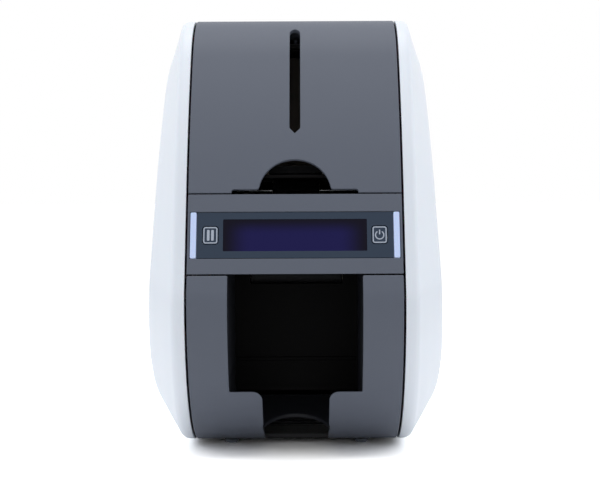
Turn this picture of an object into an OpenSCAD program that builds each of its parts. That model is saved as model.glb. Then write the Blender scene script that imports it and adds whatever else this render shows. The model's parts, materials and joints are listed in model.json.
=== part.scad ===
// Desktop printer for plastic identity cards.
//
// X runs across the printer, Y from front (-Y) to back, Z up. The origin is on the table,
// under the middle of the printer. A grey band of covers runs over the machine from the
// output tray to the back, between two white side shells. Cards lie in the magazine behind
// the hopper cover, pass back along the card path under the print head, are caught by the
// tilting turner, and come forward down the return chute into the output tray.

/* [Body] */
// Width over the two side shells
body_w = 178; // [170:1:200]
// Height from the table to the top of the covers
body_h = 269; // [266:1:280]
// Depth from the front of the tray to the back
body_d = 374; // [370:1:390]
// Height of the feet
foot_h = 2.5; // [2:0.5:14]
// Width of the grey band between the side shells
band_w = 123.4; // [122:0.2:128]
// Wall of the covers and shells
wall = 2.5; // [2:0.1:3]
// Gap between neighbouring covers
seam = 0.8; // [0.6:0.1:1.2]
// Radius of the round lower front
front_r = 90; // [85:1:95]
// Backward tilt of the console
console_tilt = 18; // [16:1:20]
// Tilt of the hopper cover at its upper bend
brow_tilt = 32; // [30:1:34]

/* [Openings] */
// Width of the card level slit
slit_w = 6.3; // [5:0.1:8]
// Height of the slit's lower end above the hopper cover's seam
slit_rise = 35.2; // [28:0.1:38]
// Distance of the slit's upper end below the top of the covers
slit_drop = 13; // [12:0.5:20]
// Radius of the thumb notch
thumb_r = 21; // [15:0.1:22]
// Width of the low slot under the hopper cover
lip_slot_w = 73; // [60:1:80]
// Height of that low slot
lip_slot_h = 2.6; // [2:0.1:4]
// Width of the output bay
bay_w = 76.6; // [70:0.2:78]
// Height of the tray's front lips
lip_z = 41; // [38:1:52]
// Width of the slot between the lips
lip_gap = 38.8; // [30:0.2:40]
// Corner radius of the lips
lip_r = 5.6; // [3:0.1:8]
// Radius of the finger notch in the tray floor
finger_r = 20; // [19.5:0.5:24]

/* [Console] */
// Height of the seam between the tray and the console
console_z = 109; // [106:1:112]
// Height of the seam between the console and the hopper cover
cover_z = 155; // [153:1:159]
// Width of the dark lens panel
lens_w = 112; // [106:1:112]
// Lower edge of the lens panel along the console
lens_s = 9.5; // [9:0.1:12]
// Height of the lens panel along the console
lens_h = 27.2; // [26:0.1:30]
// Width of the display window
lcd_w = 82; // [70:1:84]
// Height of the display window
lcd_h = 18.9; // [15:0.1:22]
// Distance of each button from the middle
key_x = 48.2; // [47.6:0.1:49]
// Width of a button
key_w = 8.8; // [7:0.1:9.4]
// Height of a button
key_h = 10.5; // [8:0.1:12]
// Travel of a button
key_travel = 0.8; // [0.5:0.1:1]
// Width of a light bar
bar_w = 3.4; // [2.4:0.1:3.8]

/* [Cards] */
// Length of a card
card_l = 85.6; // [80:0.1:88]
// Width of a card
card_w = 54; // [50:0.1:55]
// Height of the card path
path_z = 166; // [165:1:168]
// Front of the card stack
stack_y = -125; // [-127:1:-123]
// Side clearance of a card
card_gap = 0.6; // [0.4:0.1:0.8]
// Gap between two rollers of a pair
nip = 0.5; // [0.4:0.1:0.8]

/* [Drive] */
// Radius of the driven rollers
roller_r = 6.5; // [5.5:0.1:7]
// Length of the roller sleeves
roller_l = 58; // [50:1:60]
// Radius of the pick roller
pick_r = 9; // [8:0.1:10]
// Diameter of the roller shafts
shaft_d = 6; // [5:0.1:7]
// Radial clearance of a running fit
fit = 0.05; // [0.02:0.01:0.1]
// Pitch radius of the belt pulleys
pulley_r = 8; // [7:0.1:9]
// Thickness of the belts
belt_t = 1.2; // [0.8:0.1:1.5]
// Width of the belts
belt_w = 5; // [4:0.1:6]
// Module of the turner gears
gear_m = 1; // [0.9:0.05:1.1]
// Teeth of the turner gear
gear_teeth = 40; // [36:1:44]
// Teeth of the turner pinion
pinion_teeth = 14; // [12:1:16]

/* [Frame] */
// Distance between the frame plates
frame_w = 112; // [110:0.5:113]
// Thickness of the frame plates
frame_t = 1.6; // [1.2:0.1:2]
// Radius of the cover hinge barrels
hinge_r = 6; // [5.5:0.1:6.5]
// Diameter of the hinge pins
pin_d = 3; // [2.5:0.1:3.4]
// Diameter of the feet
foot_d = 9; // [7:0.5:12]

/* [Hidden] */
$fn = 64;

white = "#e6ebf3";
grey = "#666b77";
dark = "#1c1c20";
steel = "#a7abb0";

// Half widths and the planes of the frame plates
band_x = band_w / 2;
rim_x = band_x + seam;
frame_x = frame_w / 2;
outer_x = frame_x + frame_t;
loose = 0.3;
tight = 0.1;

// ---- Side profile of the band ----
// Points are [y, z]. A tangent angle of 0 runs straight up the front, 90 runs back along
// the top, 180 down the back and 270 forward underneath.
function on_arc(c, r, t) = [c[0] - r * cos(t), c[1] + r * sin(t)];
function arc(c, r, t0, t1, n, from = 0) =
    [for (i = [from:n]) on_arc(c, r, t0 + (t1 - t0) * i / n)];
function outward(p, r, t) = [p[0] + r * cos(t), p[1] - r * sin(t)];

half_d = body_d / 2;
front_y = -half_d;
brow_r = 25;
shoulder_r = 56;
corner_r = 50;
heel_r = 55;
top_tilt = 84;
end_tilt = 180 - top_tilt;
back_tilt = 165;

front_c = [front_y + front_r, foot_h + front_r];
brow_c = [front_y + brow_r, foot_h + front_r];
brow_end = on_arc(brow_c, brow_r, console_tilt);
cover_start = [brow_end[0] + (cover_z - brow_end[1]) * tan(console_tilt), cover_z];
heel_c = [body_d / 2 - heel_r, foot_h + heel_r];
heel_start = on_arc(heel_c, heel_r, back_tilt);
corner_dy = corner_r * (cos(end_tilt) - cos(back_tilt));
corner_dz = corner_r * (sin(end_tilt) - sin(back_tilt));

// The crown is the rise of the top arc above its two ends; it follows from the width left
// between the shoulder and the rear corner.
rise = sin(brow_tilt) - sin(console_tilt);
run = (cos(console_tilt) - cos(brow_tilt)) / rise;
climb = body_h - cover_z - shoulder_r * (sin(top_tilt) - sin(brow_tilt));
fore_y = cover_start[0] + climb * run + shoulder_r * (cos(brow_tilt) - cos(top_tilt));
aft_y = heel_start[0] - corner_dy
    - (body_h - corner_dz - heel_start[1]) * tan(180 - back_tilt);
half_slope = tan((90 - top_tilt) / 2) / 2;
crown = half_slope * (aft_y - fore_y)
    / (1 - half_slope * (run + tan(180 - back_tilt)));
cover_r = (climb - crown) / rise;
cover_c = outward(cover_start, cover_r, console_tilt);
cover_end = on_arc(cover_c, cover_r, brow_tilt);
shoulder_c = outward(cover_end, shoulder_r, brow_tilt);
shoulder_end = on_arc(shoulder_c, shoulder_r, top_tilt);
top_r = (aft_y + crown * tan(180 - back_tilt) - shoulder_end[0]) / (2 * cos(top_tilt));
top_c = outward(shoulder_end, top_r, top_tilt);
top_end = on_arc(top_c, top_r, end_tilt);
corner_c = outward(top_end, corner_r, end_tilt);

// Outline of the band, moved inward by d
function outline(d) = concat(
    arc(front_c, front_r - d, -90, 0, 14),
    arc(brow_c, brow_r - d, 0, console_tilt, 2, 1),
    arc(cover_c, cover_r - d, console_tilt, brow_tilt, 4),
    arc(shoulder_c, shoulder_r - d, brow_tilt, top_tilt, 8, 1),
    arc(top_c, top_r - d, top_tilt, end_tilt, 6, 1),
    arc(corner_c, corner_r - d, end_tilt, back_tilt, 10, 1),
    arc(heel_c, heel_r - d, back_tilt, 270, 14));

module band(d = 0) {
    polygon(outline(d));
}

module ring(d0, d1) {
    difference() {
        band(d0);
        band(d1);
    }
}

// A drawing in the Y-Z plane, made into a slab from x0 to x1
module slab(x0, x1) {
    translate([x0, 0, 0]) rotate([90, 0, 90]) linear_extrude(x1 - x0) children();
}

module both_sides() {
    children();
    mirror([1, 0, 0]) children();
}

// A rod along X from x0 to x1 at [y, z]
module rod(p, r, x0, x1) {
    translate([x0, p[0], p[1]]) rotate([0, 90, 0]) cylinder(r = r, h = x1 - x0);
}

module box(x, y, z) {
    translate([x[0], y[0], z[0]]) cube([x[1] - x[0], y[1] - y[0], z[1] - z[0]]);
}

function sym(x) = [-x, x];

// ---- Hinges of the two covers ----
hopper_t = top_tilt + 0.5;
hopper_axis = on_arc(top_c, top_r - hinge_r, hopper_t);
rear_t = 120;
rear_axis = on_arc(corner_c, corner_r - hinge_r, rear_t);
groove = hinge_r + 0.4;
top_front_y = hopper_axis[0] + groove;
rear_edge_t = rear_t + groove / (corner_r - hinge_r) * 180 / PI;
knuckle_x = frame_x - 0.6;
skirt = 12;
base_z = 60;

// The part of the Y-Z plane between two rays from a centre
module wedge(c, t0, t1, reach = 200) {
    polygon([c, on_arc(c, reach, t0), on_arc(c, reach * 1.4, (t0 + t1) / 2), on_arc(c, reach, t1)]);
}

module cover_cut() {
    translate([hopper_axis[0] - 400, cover_z + seam / 2]) square([400, 300]);
}

module top_cut() {
    polygon([[top_front_y, corner_c[1]], [top_front_y, body_h + 50],
        on_arc(corner_c, 300, 60), on_arc(corner_c, 300, rear_t), corner_c]);
}

module skin(cut_x = 0) {
    slab(-band_x, band_x) intersection() {
        ring(0, wall);
        children();
    }
    both_sides() slab(band_x - wall, band_x) intersection() {
        ring(wall / 2, skirt);
        children();
    }
}

// Hinge barrel of a cover, with a slot round each frame plate and a bore for each pin
module barrel(axis) {
    difference() {
        rod(axis, hinge_r, -band_x, band_x);
        both_sides() {
            rod(axis, hinge_r + 1, knuckle_x, outer_x + loose * 2);
            rod(axis, pin_d / 2 + fit, knuckle_x - 12, knuckle_x + 1);
        }
    }
}

module hopper_cover() {
    color(grey) difference() {
        union() {
            skin() cover_cut();
            barrel(hopper_axis);
        }
        translate([0, 0, slit_z + slit_w / 2]) rotate([90, 0, 0]) linear_extrude(400)
            slit_shape();
        on_console(cover_z) {
            translate([0, 20, 0]) rotate([90, 0, 0]) cylinder(r = thumb_r, h = 40);
            box(sym(lip_slot_w / 2), [-20, 20], [-5, lip_slot_h]);
        }
    }
}

slit_z = cover_z + slit_rise;

// The slit is round at the top and pointed at the bottom
module slit_shape() {
    length = body_h - slit_drop - slit_z - slit_w;
    polygon([[-slit_w / 2, 0], [0, -slit_w / 2], [slit_w / 2, 0],
        [slit_w / 2, length], [-slit_w / 2, length]]);
    translate([0, length]) circle(d = slit_w);
}

latch_y = [top_front_y + 9.5, top_front_y + 21.5];
latch_x = 15;

module top_cover() {
    color(grey) difference() {
        union() {
            skin() top_cut();
            barrel(rear_axis);
            for (y = boss_y) both_sides()
                intersection() {
                    translate([boss_x, y, head_top]) cylinder(d = 8, h = 40);
                    slab(0, band_x) band(wall / 2);
                }
            both_sides() difference() {
                slab(lug_x[0], lug_x[1]) intersection() {
                    band(wall / 2);
                    translate([hook_axis[0] - 5, hook_axis[1] - 5]) square([10, 30]);
                }
                rod(hook_axis, hook_shaft_r + fit, 0, band_x);
            }
            both_sides() {
                slab(latch_x + 3.6, latch_x + 5.2) intersection() {
                    band(wall / 2);
                    translate([latch_y[0] - 2, spring_z[0] - 1.6]) square([6.4, 30]);
                }
                box([6, latch_x + 5], [latch_y[0] - 2, hook_axis[0] - hook_shaft_r - 1],
                    [spring_z[0] - 1.6, spring_z[0] - 0.1]);
            }
        }
        box(sym(latch_x), latch_y, [body_h - 15, body_h + 5]);
    }
}

module rear_cover() {
    color(dark) difference() {
        union() {
            skin() difference() {
                wedge(corner_c, rear_edge_t, 250, 300);
                translate([-body_d, -1]) square([2 * body_d, base_z + 1 + seam / 2]);
            }
        }
        on_back() {
            for (x = vent_x) for (s = [34:5:70])
                box([x - 2 - 9, x + 9], [-6, 3], [s, s + 2.4]);
            translate([0, 0, fan_s]) rotate([90, 0, 0]) cylinder(r = fan_bore, h = 12, center = true);
            for (x = sym(screw_x), s = screw_s)
                translate([x, 1, s]) rotate([90, 0, 0]) cylinder(d = screw_d + 2 * loose, h = 8);
        }
        for (p = ports) box([p[0] - p[1] / 2 - loose, p[0] + p[1] / 2 + loose],
            [body_d / 2 - 20, body_d / 2 + 5], [board_z + 1.6, board_z + 1.6 + p[2] + loose]);
    }
}

// ---- Back panel ----
// Height 0 here is the foot of the straight, leaning part of the back; -Y goes inward.
module on_back() {
    translate([0, heel_start[0], heel_start[1]]) rotate([180 - back_tilt, 0, 0]) children();
}

fan_s = 52;
fan_bore = 18.5;
fan_w = 40;
vent_x = [-40, 40];
screw_x = 50;
screw_s = [24, 120];
screw_d = 3;
board_z = foot_h + 58;
board_y = [70, 178];
// Each port: its place along X, its width and its height
ports = [[-40, 11, 11], [-20, 19.5, 13], [8, 12, 11], [34, 16, 13.5]];

module fan_frame() {
    color(dark) on_back() difference() {
        translate([-fan_w / 2, -wall - loose - 10, fan_s - fan_w / 2]) cube([fan_w, 10, fan_w]);
        translate([0, 1, fan_s]) rotate([90, 0, 0]) difference() {
            cylinder(r = fan_bore, h = 30);
            cylinder(r = 8, h = 30);
            for (a = [45:90:315]) rotate([0, 0, a])
                translate([0, -1.5, wall + loose + 8.6]) cube([fan_bore + 1, 3, 3]);
        }
        translate([0, 1, fan_s]) rotate([90, 0, 0]) translate([0, 0, -1])
            cylinder(r = 8.5, h = wall + loose + 9.2);
        translate([0, -wall, fan_s]) rotate([90, 0, 0]) cylinder(r = 1 + fit, h = 30);
    }
}

module fan_impeller() {
    color("#2a2a2e") on_back() translate([0, -wall - loose - 0.6, fan_s]) rotate([90, 0, 0]) {
        cylinder(r = 7.8, h = 6.2);
        cylinder(r = 1, h = 9.2);
        for (a = [0:360 / 7:359]) rotate([0, 0, a]) translate([7, 0, 3.4]) rotate([35, 0, 0])
            translate([0, -0.5, -2.9]) cube([fan_bore - 8.2, 1, 5.8]);
    }
}

// ---- Side shells ----
// A shell is a set of rings. Each ring is the band's outline shrunk toward its middle by
// [inset, x], and bulges less toward the top.
crease_x = rim_x + 7.5;
mid_z = (body_h + foot_h) / 2;
half_h = (body_h - foot_h) / 2;
bulge = body_w / 2 - crease_x;

function fade(z) = 1 - 0.385 * pow(max(0, z - 60) / 155, 1.125);
function shell_x(x, z) = x <= crease_x ? x : crease_x + (x - crease_x) * fade(z);
function shrunk(p, d) = [p[0] * (1 - d / half_d), mid_z + (p[1] - mid_z) * (1 - d / half_h)];
function shell_ring(s) = [for (p = outline(0)) let (q = shrunk(p, s[0]))
    [shell_x(s[1], q[1]), q[0], q[1]]];

outer_rings = [[0, rim_x], [0, rim_x + 3], [0.5, rim_x + 5.5], [1.7, crease_x], [4, crease_x + 1.6],
    [15, crease_x + bulge * 0.47], [30, crease_x + bulge * 0.9], [42, crease_x + bulge * 0.955],
    [52, crease_x + bulge * 0.985], [64, crease_x + bulge], [85, crease_x + bulge],
    [110, crease_x + bulge]];
inner_rings = [[110, crease_x + bulge - wall], [85, crease_x + bulge - wall],
    [64, crease_x + bulge - wall], [50, crease_x + bulge * 0.97 - wall],
    [32, crease_x + bulge * 0.86 - wall], [16, crease_x + bulge * 0.34 - wall * 0.4],
    [6, crease_x + 0.3], [wall, rim_x + 4.5], [wall, rim_x]];

module shell_body() {
    rings = concat(outer_rings, inner_rings);
    n = len(outline(0));
    last = len(outer_rings) - 1;
    points = [for (s = rings) each shell_ring(s)];
    cap = [body_w / 2, 0, mid_z];
    strip = [for (k = [0:len(rings) - 1]) if (k != last)
        let (a = k * n, b = (k + 1) % len(rings) * n)
        for (i = [0:n - 1]) let (j = (i + 1) % n)
        each [[a + i, b + j, b + i], [a + i, a + j, b + j]]];
    tips = [[shell_x(cap[0], mid_z), 0, mid_z], [shell_x(cap[0] - wall, mid_z), 0, mid_z]];
    fans = [for (i = [0:n - 1]) let (j = (i + 1) % n)
        each [[last * n + i, last * n + j, len(points)],
            [(last + 1) * n + j, (last + 1) * n + i, len(points) + 1]]];
    polyhedron(concat(points, tips), concat(strip, fans));
}

// Places of the posts that carry a shell on its frame plate
posts = [[front_y + 72, 95], [half_d - 65, 88], [0, body_h - 64]];
post_d = 9;

module side_shell() {
    color(white) {
        shell_body();
        for (p = posts) difference() {
            rod(p, post_d / 2, outer_x + tight, shell_x(body_w / 2 - wall / 2, p[1]));
            rod(p, screw_d / 2 + fit, outer_x, outer_x + 9);
        }
    }
}

module side_shell_right() {
    side_shell();
}

module side_shell_left() {
    mirror([1, 0, 0]) side_shell();
}

// ---- Console ----
console_l = (cover_z - console_z) / cos(console_tilt) - seam;
console_y = brow_end[0] + (console_z - brow_end[1]) * tan(console_tilt);

// Height z here is where the face starts; local Z climbs the face and +Y goes inward.
module on_console(z = console_z + seam / 2) {
    translate([0, brow_end[0] + (z - brow_end[1]) * tan(console_tilt), z])
        rotate([-console_tilt, 0, 0]) children();
}

lens_x = lens_w / 2;
key_s = lens_s + lens_h / 2;
bar_x = [lens_x + loose, lens_x + loose + bar_w];

module lens_hole(grow) {
    box(sym(lens_x + grow), [-1, 20], [lens_s - grow, lens_s + lens_h + grow]);
}

module console_frame() {
    color(grey) on_console() difference() {
        union() {
            box(sym(band_x), [0, wall], [0, console_l]);
            both_sides() box([band_x - wall, band_x], [0, skirt], [skirt / 2, console_l]);
            both_sides() box([lens_x - 3, frame_x - tight], [wall, 14], [skirt / 2 + 1, lens_s - 1]);
            both_sides() box([lens_x - 3, frame_x - tight], [wall, 14],
                [lens_s + lens_h + 1, console_l - 1]);
        }
        lens_hole(loose);
        both_sides() box([bar_x[0] - loose, bar_x[1] + loose], [-1, 20],
            [lens_s - loose, lens_s + lens_h + loose]);
        rotate([console_tilt, 0, 0]) box(sym(band_x + 1), [-1, 9], [-20, 0]);
    }
}

module console_lens() {
    color("#353f4b") on_console() difference() {
        union() {
            box(sym(lens_x), [0.3, 2.1], [lens_s, lens_s + lens_h]);
            both_sides() box([key_x + key_w / 2 + 1.5, lens_x], [2.1, 4], [lens_s, lens_s + lens_h]);
        }
        for (x = sym(key_x)) box([x - key_w / 2 - loose, x + key_w / 2 + loose], [-1, 5],
            [key_s - key_h / 2 - loose, key_s + key_h / 2 + loose]);
    }
}

module lcd_module() {
    color("#1e1b46") on_console() difference() {
        box(sym(lcd_w / 2 + 1), [2.1, 8], [lens_s + 1, lens_s + lens_h - 1]);
        box(sym(lcd_w / 2), [2, 2.6], [key_s - lcd_h / 2, key_s + lcd_h / 2]);
    }
}

module light_bars() {
    color("#bbc9e7") on_console() both_sides()
        box(bar_x, [-0.2, 4], [lens_s, lens_s + lens_h]);
}

module key(x) {
    color("#353f4b") on_console() {
        box([x - key_w / 2, x + key_w / 2], [0.3, 3.2], [key_s - key_h / 2, key_s + key_h / 2]);
        translate([x, 3, key_s]) rotate([-90, 0, 0]) cylinder(d = 4, h = 5 - key_travel);
    }
}

module pause_button() {
    key(-key_x);
}

module power_button() {
    key(key_x);
}

module button_board() {
    color("#1f4a30") on_console() {
        box(sym(lens_x - 3.4), [9.4, 11], [lens_s - 3, lens_s + lens_h + 4]);
        box(sym(lcd_w / 2 - 4), [8, 9.4], [lens_s + 4, lens_s + lens_h - 4]);
        for (x = sym(key_x)) box([x - 3, x + 3], [8.1, 9.4], [key_s - 3, key_s + 3]);
    }
}

// ---- Output tray and bay ----
bay_x = bay_w / 2;
bay_back_y = front_y + 94.5;
tray_back_y = bay_back_y - wall;
floor_z = 28.7;
floor_slope = 17;
tray_edge_y = front_y + 77;
side_t = 2.4;
rail_z = [60.3, 64.1];
rail_x = bay_x + side_t + 3.2;
liner_x = rail_x + loose;
tray_top_z = console_z - seam / 2;
notch_y = front_y + 65.5;

module below_floor(d = 0) {
    translate([tray_back_y, floor_z - d]) rotate(floor_slope) translate([-300, -300])
        square([300, 300]);
}

module output_tray() {
    color(grey) difference() {
        union() {
            difference() {
                skin() translate([-300, 0]) square([300 + tray_edge_y, tray_top_z]);
                box([-bay_x, bay_x], [-200, -100], [lip_z, 120]);
                lip_cut();
            }
            both_sides() slab(bay_x, bay_x + side_t) intersection() {
                band(wall / 2);
                translate([-300, 0]) square([300 + tray_back_y, tray_top_z]);
                difference() {
                    square(600, center = true);
                    below_floor(wall);
                }
            }
            slab(-bay_x - side_t, bay_x + side_t) intersection() {
                band(wall / 2);
                difference() {
                    below_floor(0);
                    below_floor(wall);
                }
                translate([-300, 0]) square([300 + tray_back_y, 200]);
            }
            both_sides() intersection() {
                box([bay_x + side_t - 0.1, rail_x], [-200, tray_back_y], rail_z);
                slab(0, 60) band(wall / 2);
            }
        }
        // Finger notch, as wide as the slot between the lips
        translate([0, notch_y - finger_r, 0]) cylinder(r = finger_r, h = floor_z + wall);
    }
}

// Slot between the lips, with its upper corners rounded outward
module lip_cut() {
    translate([0, tray_edge_y + 1, 0]) rotate([90, 0, 0]) linear_extrude(100) {
        translate([-lip_gap / 2, 0]) square([lip_gap, lip_z + 1]);
        for (s = [-1, 1]) translate([s * lip_gap / 2, lip_z]) difference() {
            translate([s > 0 ? 0 : -lip_r, -lip_r]) square([lip_r, lip_r + 1]);
            translate([s * lip_r, -lip_r]) circle(r = lip_r);
        }
    }
}

module bay_liner() {
    color(dark) difference() {
        union() {
            intersection() {
                union() {
                    both_sides() box([liner_x, liner_x + 2], [-200, bay_back_y + 2],
                        [floor_z + 11, tray_top_z + 2.9]);
                    both_sides() for (z = [rail_z[0] - loose - 3.6, rail_z[1] + loose])
                        box([bay_x + side_t + loose, liner_x + 0.1], [-200, bay_back_y], [z, z + 3.6]);
                    box(sym(frame_x - tight), [-200, bay_back_y + 2], [tray_top_z + 0.8, tray_top_z + 2.9]);
                }
                slab(-60, 60) band(8);
            }
            box(sym(liner_x + 2), [bay_back_y, bay_back_y + 2], [floor_z + 2, tray_top_z + 2.9]);
            box(sym(bay_x - 1), [bay_back_y - 1.2, bay_back_y + 0.1], [50, 52]);
        }
        box(sym(card_w / 2 + 2), [bay_back_y - 5, bay_back_y + 5], [exit_z - 4.7, exit_z + 4.8]);
    }
}

// ---- Base and frames ----
rib_y = [-85, 130];
board_posts = [[-46, 84], [46, 84], [-46, 160], [46, 160]];
side_screws = [[-62, 23], [60, 23]];

module base_chassis() {
    color(dark) difference() {
        union() {
            slab(-band_x, band_x) intersection() {
                ring(0, wall + 0.5);
                translate([tray_edge_y + seam, 0]) square([400, base_z - seam / 2]);
            }
            both_sides() box([frame_x - tight - 3.4, frame_x - tight], rib_y, [foot_h + wall, 30]);
            for (p = board_posts) translate([p[0], p[1], foot_h + wall])
                cylinder(d = 7, h = board_z - foot_h - wall);
        }
        for (y = [-70:12:110]) box(sym(26), [y, y + 5], [0, foot_h + 5]);
        both_sides() for (p = side_screws) rod(p, screw_d / 2 + fit, frame_x - 5, frame_x + 2);
        for (p = board_posts) translate([p[0], p[1], board_z - 8]) cylinder(d = screw_d + 2 * fit, h = 9);
    }
}

foot_x = 40.5;
foot_y = [front_y + 83, 116];

module feet() {
    color("#222226") both_sides() for (y = foot_y) translate([foot_x, y, 0])
        cylinder(d1 = foot_d - 1.6, d2 = foot_d, h = foot_h);
}

// ---- Card path ----
turn_axis = [108, path_z + nip / 2];
turn_half = 44;
chute_tilt = 17.4;
stack_back_y = stack_y + card_l;
card_x = card_w / 2 + card_gap;
pick_p = [stack_back_y - 20, path_z + 0.4 - pick_r];
drive_z = path_z - roller_r;
feed_p = [-27, drive_z];
platen_p = [22, drive_z];
transport_p = [54, drive_z];
cleaning_p = [feed_p[0], path_z + nip + roller_r];
pinch_p = [transport_p[0], path_z + nip + roller_r];
small_r = 5.5;

// A point on the return chute, at distance s in front of the turner and h above the card
function on_chute(s, h) = [turn_axis[0] - s * cos(chute_tilt) - h * sin(chute_tilt),
    path_z - s * sin(chute_tilt) + h * cos(chute_tilt)];
exit_s = 199;
exit_p = on_chute(exit_s, -small_r);
exit_top_p = on_chute(exit_s, small_r + nip);
exit_z = path_z - (turn_axis[0] - bay_back_y) * tan(chute_tilt);
turner_gear_r = gear_m * gear_teeth / 2;
pinion_r = gear_m * pinion_teeth / 2;
mesh = turner_gear_r + pinion_r + 0.1;
pinion_a = -60;
pinion_p = [turn_axis[0] + mesh * cos(pinion_a), turn_axis[1] + mesh * sin(pinion_a)];
motor_p = [40, 62];
belt_x = -outer_x - 2.4 - belt_w;
lift_x = belt_x - belt_w - 2.4;
exit_belt_x = lift_x - belt_w - 2.4;

driven = [pick_p, feed_p, platen_p, transport_p, exit_p];
idlers = [cleaning_p, pinch_p, exit_top_p];
bush_r = 4.5;

// Places of the spools above the card path
take_up_p = [-22, 203];
supply_p = [62, 203];
cassette_x = [37, 39];
hook_axis = [top_front_y + 17.5, body_h - 19];
hook_shaft_r = 2.5;
stud_p = hook_axis - [0, 14];
lug_x = [38, 41];
rods = [[front_y + 109, 45], [95, 42], [-66, path_z - 34], [half_d - 53, 108],
    [half_d - 49, body_h - 63], [92, body_h - 35], [front_y + 41, 125]];
rod_d = 6;

// Steel side plate with its bores
module frame_plate() {
    slab(frame_x, outer_x) difference() {
        union() {
            difference() {
                band(6);
                for (a = [hopper_axis, rear_axis]) translate(a) circle(r = hinge_r + loose + 0.2);
            }
            for (a = [hopper_axis, rear_axis]) {
                translate(a) circle(r = hinge_r - wall - loose);
                translate([a[0] - 2.6, a[1] - 12]) square([5.2, 12]);
            }
        }
        for (a = [hopper_axis, rear_axis]) translate(a) circle(d = pin_d);
        for (p = concat(driven, idlers)) translate(p) circle(r = bush_r + fit);
        translate(turn_axis) circle(r = trunnion_r + fit);
        for (p = concat(posts, side_screws)) translate(p) circle(r = screw_d / 2 + fit);
        for (p = rods) translate(p) circle(r = screw_d / 2 + fit);
    }
    rod(stud_p, 2.5, frame_x - 10, frame_x + 0.1);
    difference() {
        on_back() for (s = screw_s) box([screw_x - 4, frame_x + 0.1], [-6, -4], [s - 4, s + 4]);
        on_back() for (s = screw_s) translate([screw_x, 0, s]) rotate([90, 0, 0])
            cylinder(r = screw_d / 2 + fit, h = 10);
    }
}

module frame_right() {
    color(steel) frame_plate();
}

module frame_left() {
    color(steel) difference() {
        mirror([1, 0, 0]) frame_plate();
        rod(motor_p, 11.4, -outer_x - 1, -frame_x + 1);
        rod(pinion_p, 3, -outer_x - 1, -frame_x + 1);
    }
}

module tie_rods() {
    color(steel) for (p = rods) difference() {
        rod(p, rod_d / 2, -frame_x, frame_x);
        both_sides() rod(p, screw_d / 2 + fit, frame_x - 9, frame_x + 1);
    }
}

module hinge_pins() {
    color(steel) both_sides() for (a = [hopper_axis, rear_axis])
        rod(a, pin_d / 2, knuckle_x - 11, outer_x);
}

module bushings() {
    color("#c9a25a") both_sides() for (p = concat(driven, idlers)) difference() {
        union() {
            rod(p, bush_r, frame_x - 0.1, outer_x + 0.4);
            rod(p, bush_r + 1, frame_x - 1.2, frame_x);
        }
        rod(p, shaft_d / 2 + fit, frame_x - 2, outer_x + 1);
    }
}

// A pan-head screw along -Z, its head's seat at the origin
module screw(length) {
    cylinder(d = 5.4, h = 1.6);
    translate([0, 0, -length]) cylinder(d = screw_d, h = length + 0.1);
}

module screws() {
    color(steel) {
        both_sides() for (p = concat(side_screws, rods, posts)) {
            turned = len([for (q = posts) if (q == p) 1]) > 0;
            if (!turned) translate([outer_x, p[0], p[1]]) rotate([0, 90, 0]) screw(frame_t + 3);
            else translate([frame_x, p[0], p[1]]) rotate([0, -90, 0]) screw(frame_t + 6);
        }
        for (p = board_posts) translate([p[0], p[1], board_z + 1.6]) screw(7);
        on_back() for (x = sym(screw_x), s = screw_s) translate([x, 0, s]) rotate([-90, 0, 0]) screw(6.4);
    }
}

// ---- Card magazine ----
floor_t = 2;
magazine_top = body_h - 23;

module magazine() {
    color("#26272c") difference() {
        union() {
            box(sym(card_x + 2.4), [stack_y - 32, stack_back_y + 0.4], [path_z - floor_t, path_z]);
            box(sym(frame_x - tight), [stack_y + 6, stack_back_y + 0.4], [path_z - floor_t, path_z]);
            intersection() {
                union() {
                    both_sides() box([card_x, card_x + 2.4], [stack_y - 2.8, stack_back_y + 2.8],
                        [path_z - floor_t, magazine_top]);
                    both_sides() box([16, card_x + 1], [stack_y - 2.8, stack_y - 0.4],
                        [path_z - floor_t, magazine_top]);
                    box(sym(card_x + 1), [stack_back_y + 0.4, stack_back_y + 2.8],
                        [path_z + 2.4, magazine_top]);
                }
                slab(-60, 60) band(9);
            }
        }
        box(sym(17), [pick_p[0] - pick_r - 1, pick_p[0] + pick_r + 1], [path_z - 4, path_z + 1]);
        both_sides() box([card_x - 1, card_x + 5], [weight_y - 2.4, weight_y + 2.4],
            [path_z + 1, magazine_top - 14]);
    }
}

weight_y = stack_y + 50;
weight_lift = 55;

module card_weight() {
    color(steel) {
        box(sym(card_x - loose), [stack_y + 4, stack_back_y - 5], [path_z + 1.2, path_z + 6]);
        box(sym(card_x + 5), [weight_y - 2, weight_y + 2], [path_z + 1.2, path_z + 5]);
    }
}

module gate_lever() {
    y = [stack_back_y + 2.8 + loose, stack_back_y + 4.8 + loose];
    color("#3c66a8") {
        box(sym(9), y, [path_z + 1.4, path_z + 24]);
        box([-9, 46], y, [path_z + 18, path_z + 24]);
        box([40, 46], [y[0] - 6, y[1]], [path_z + 18, path_z + 24]);
    }
}

deck_y = [stack_back_y + 3.2, turn_axis[0] - turn_half - 3];

module path_deck() {
    color("#303136") difference() {
        union() {
            box(sym(frame_x - tight), deck_y, [path_z - 2.6, path_z - 0.6]);
            both_sides() box([card_x, card_x + 2], deck_y, [path_z - 2.6, path_z + 3]);
        }
        for (p = [feed_p, platen_p, transport_p]) {
            box(sym(roller_l / 2 + 1.5), [p[0] - roller_r - 1, p[0] + roller_r + 1],
                [path_z - 5, path_z + 5]);
            both_sides() box([frame_x - 1.6, frame_x + 1], [p[0] - bush_r - 1.5, p[0] + bush_r + 1.5],
                [path_z - 5, path_z]);
        }
        box(sym(card_x + 3), sym(15) + [platen_p[0], platen_p[0]], [path_z - 0.6, path_z + 5]);
    }
}

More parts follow.
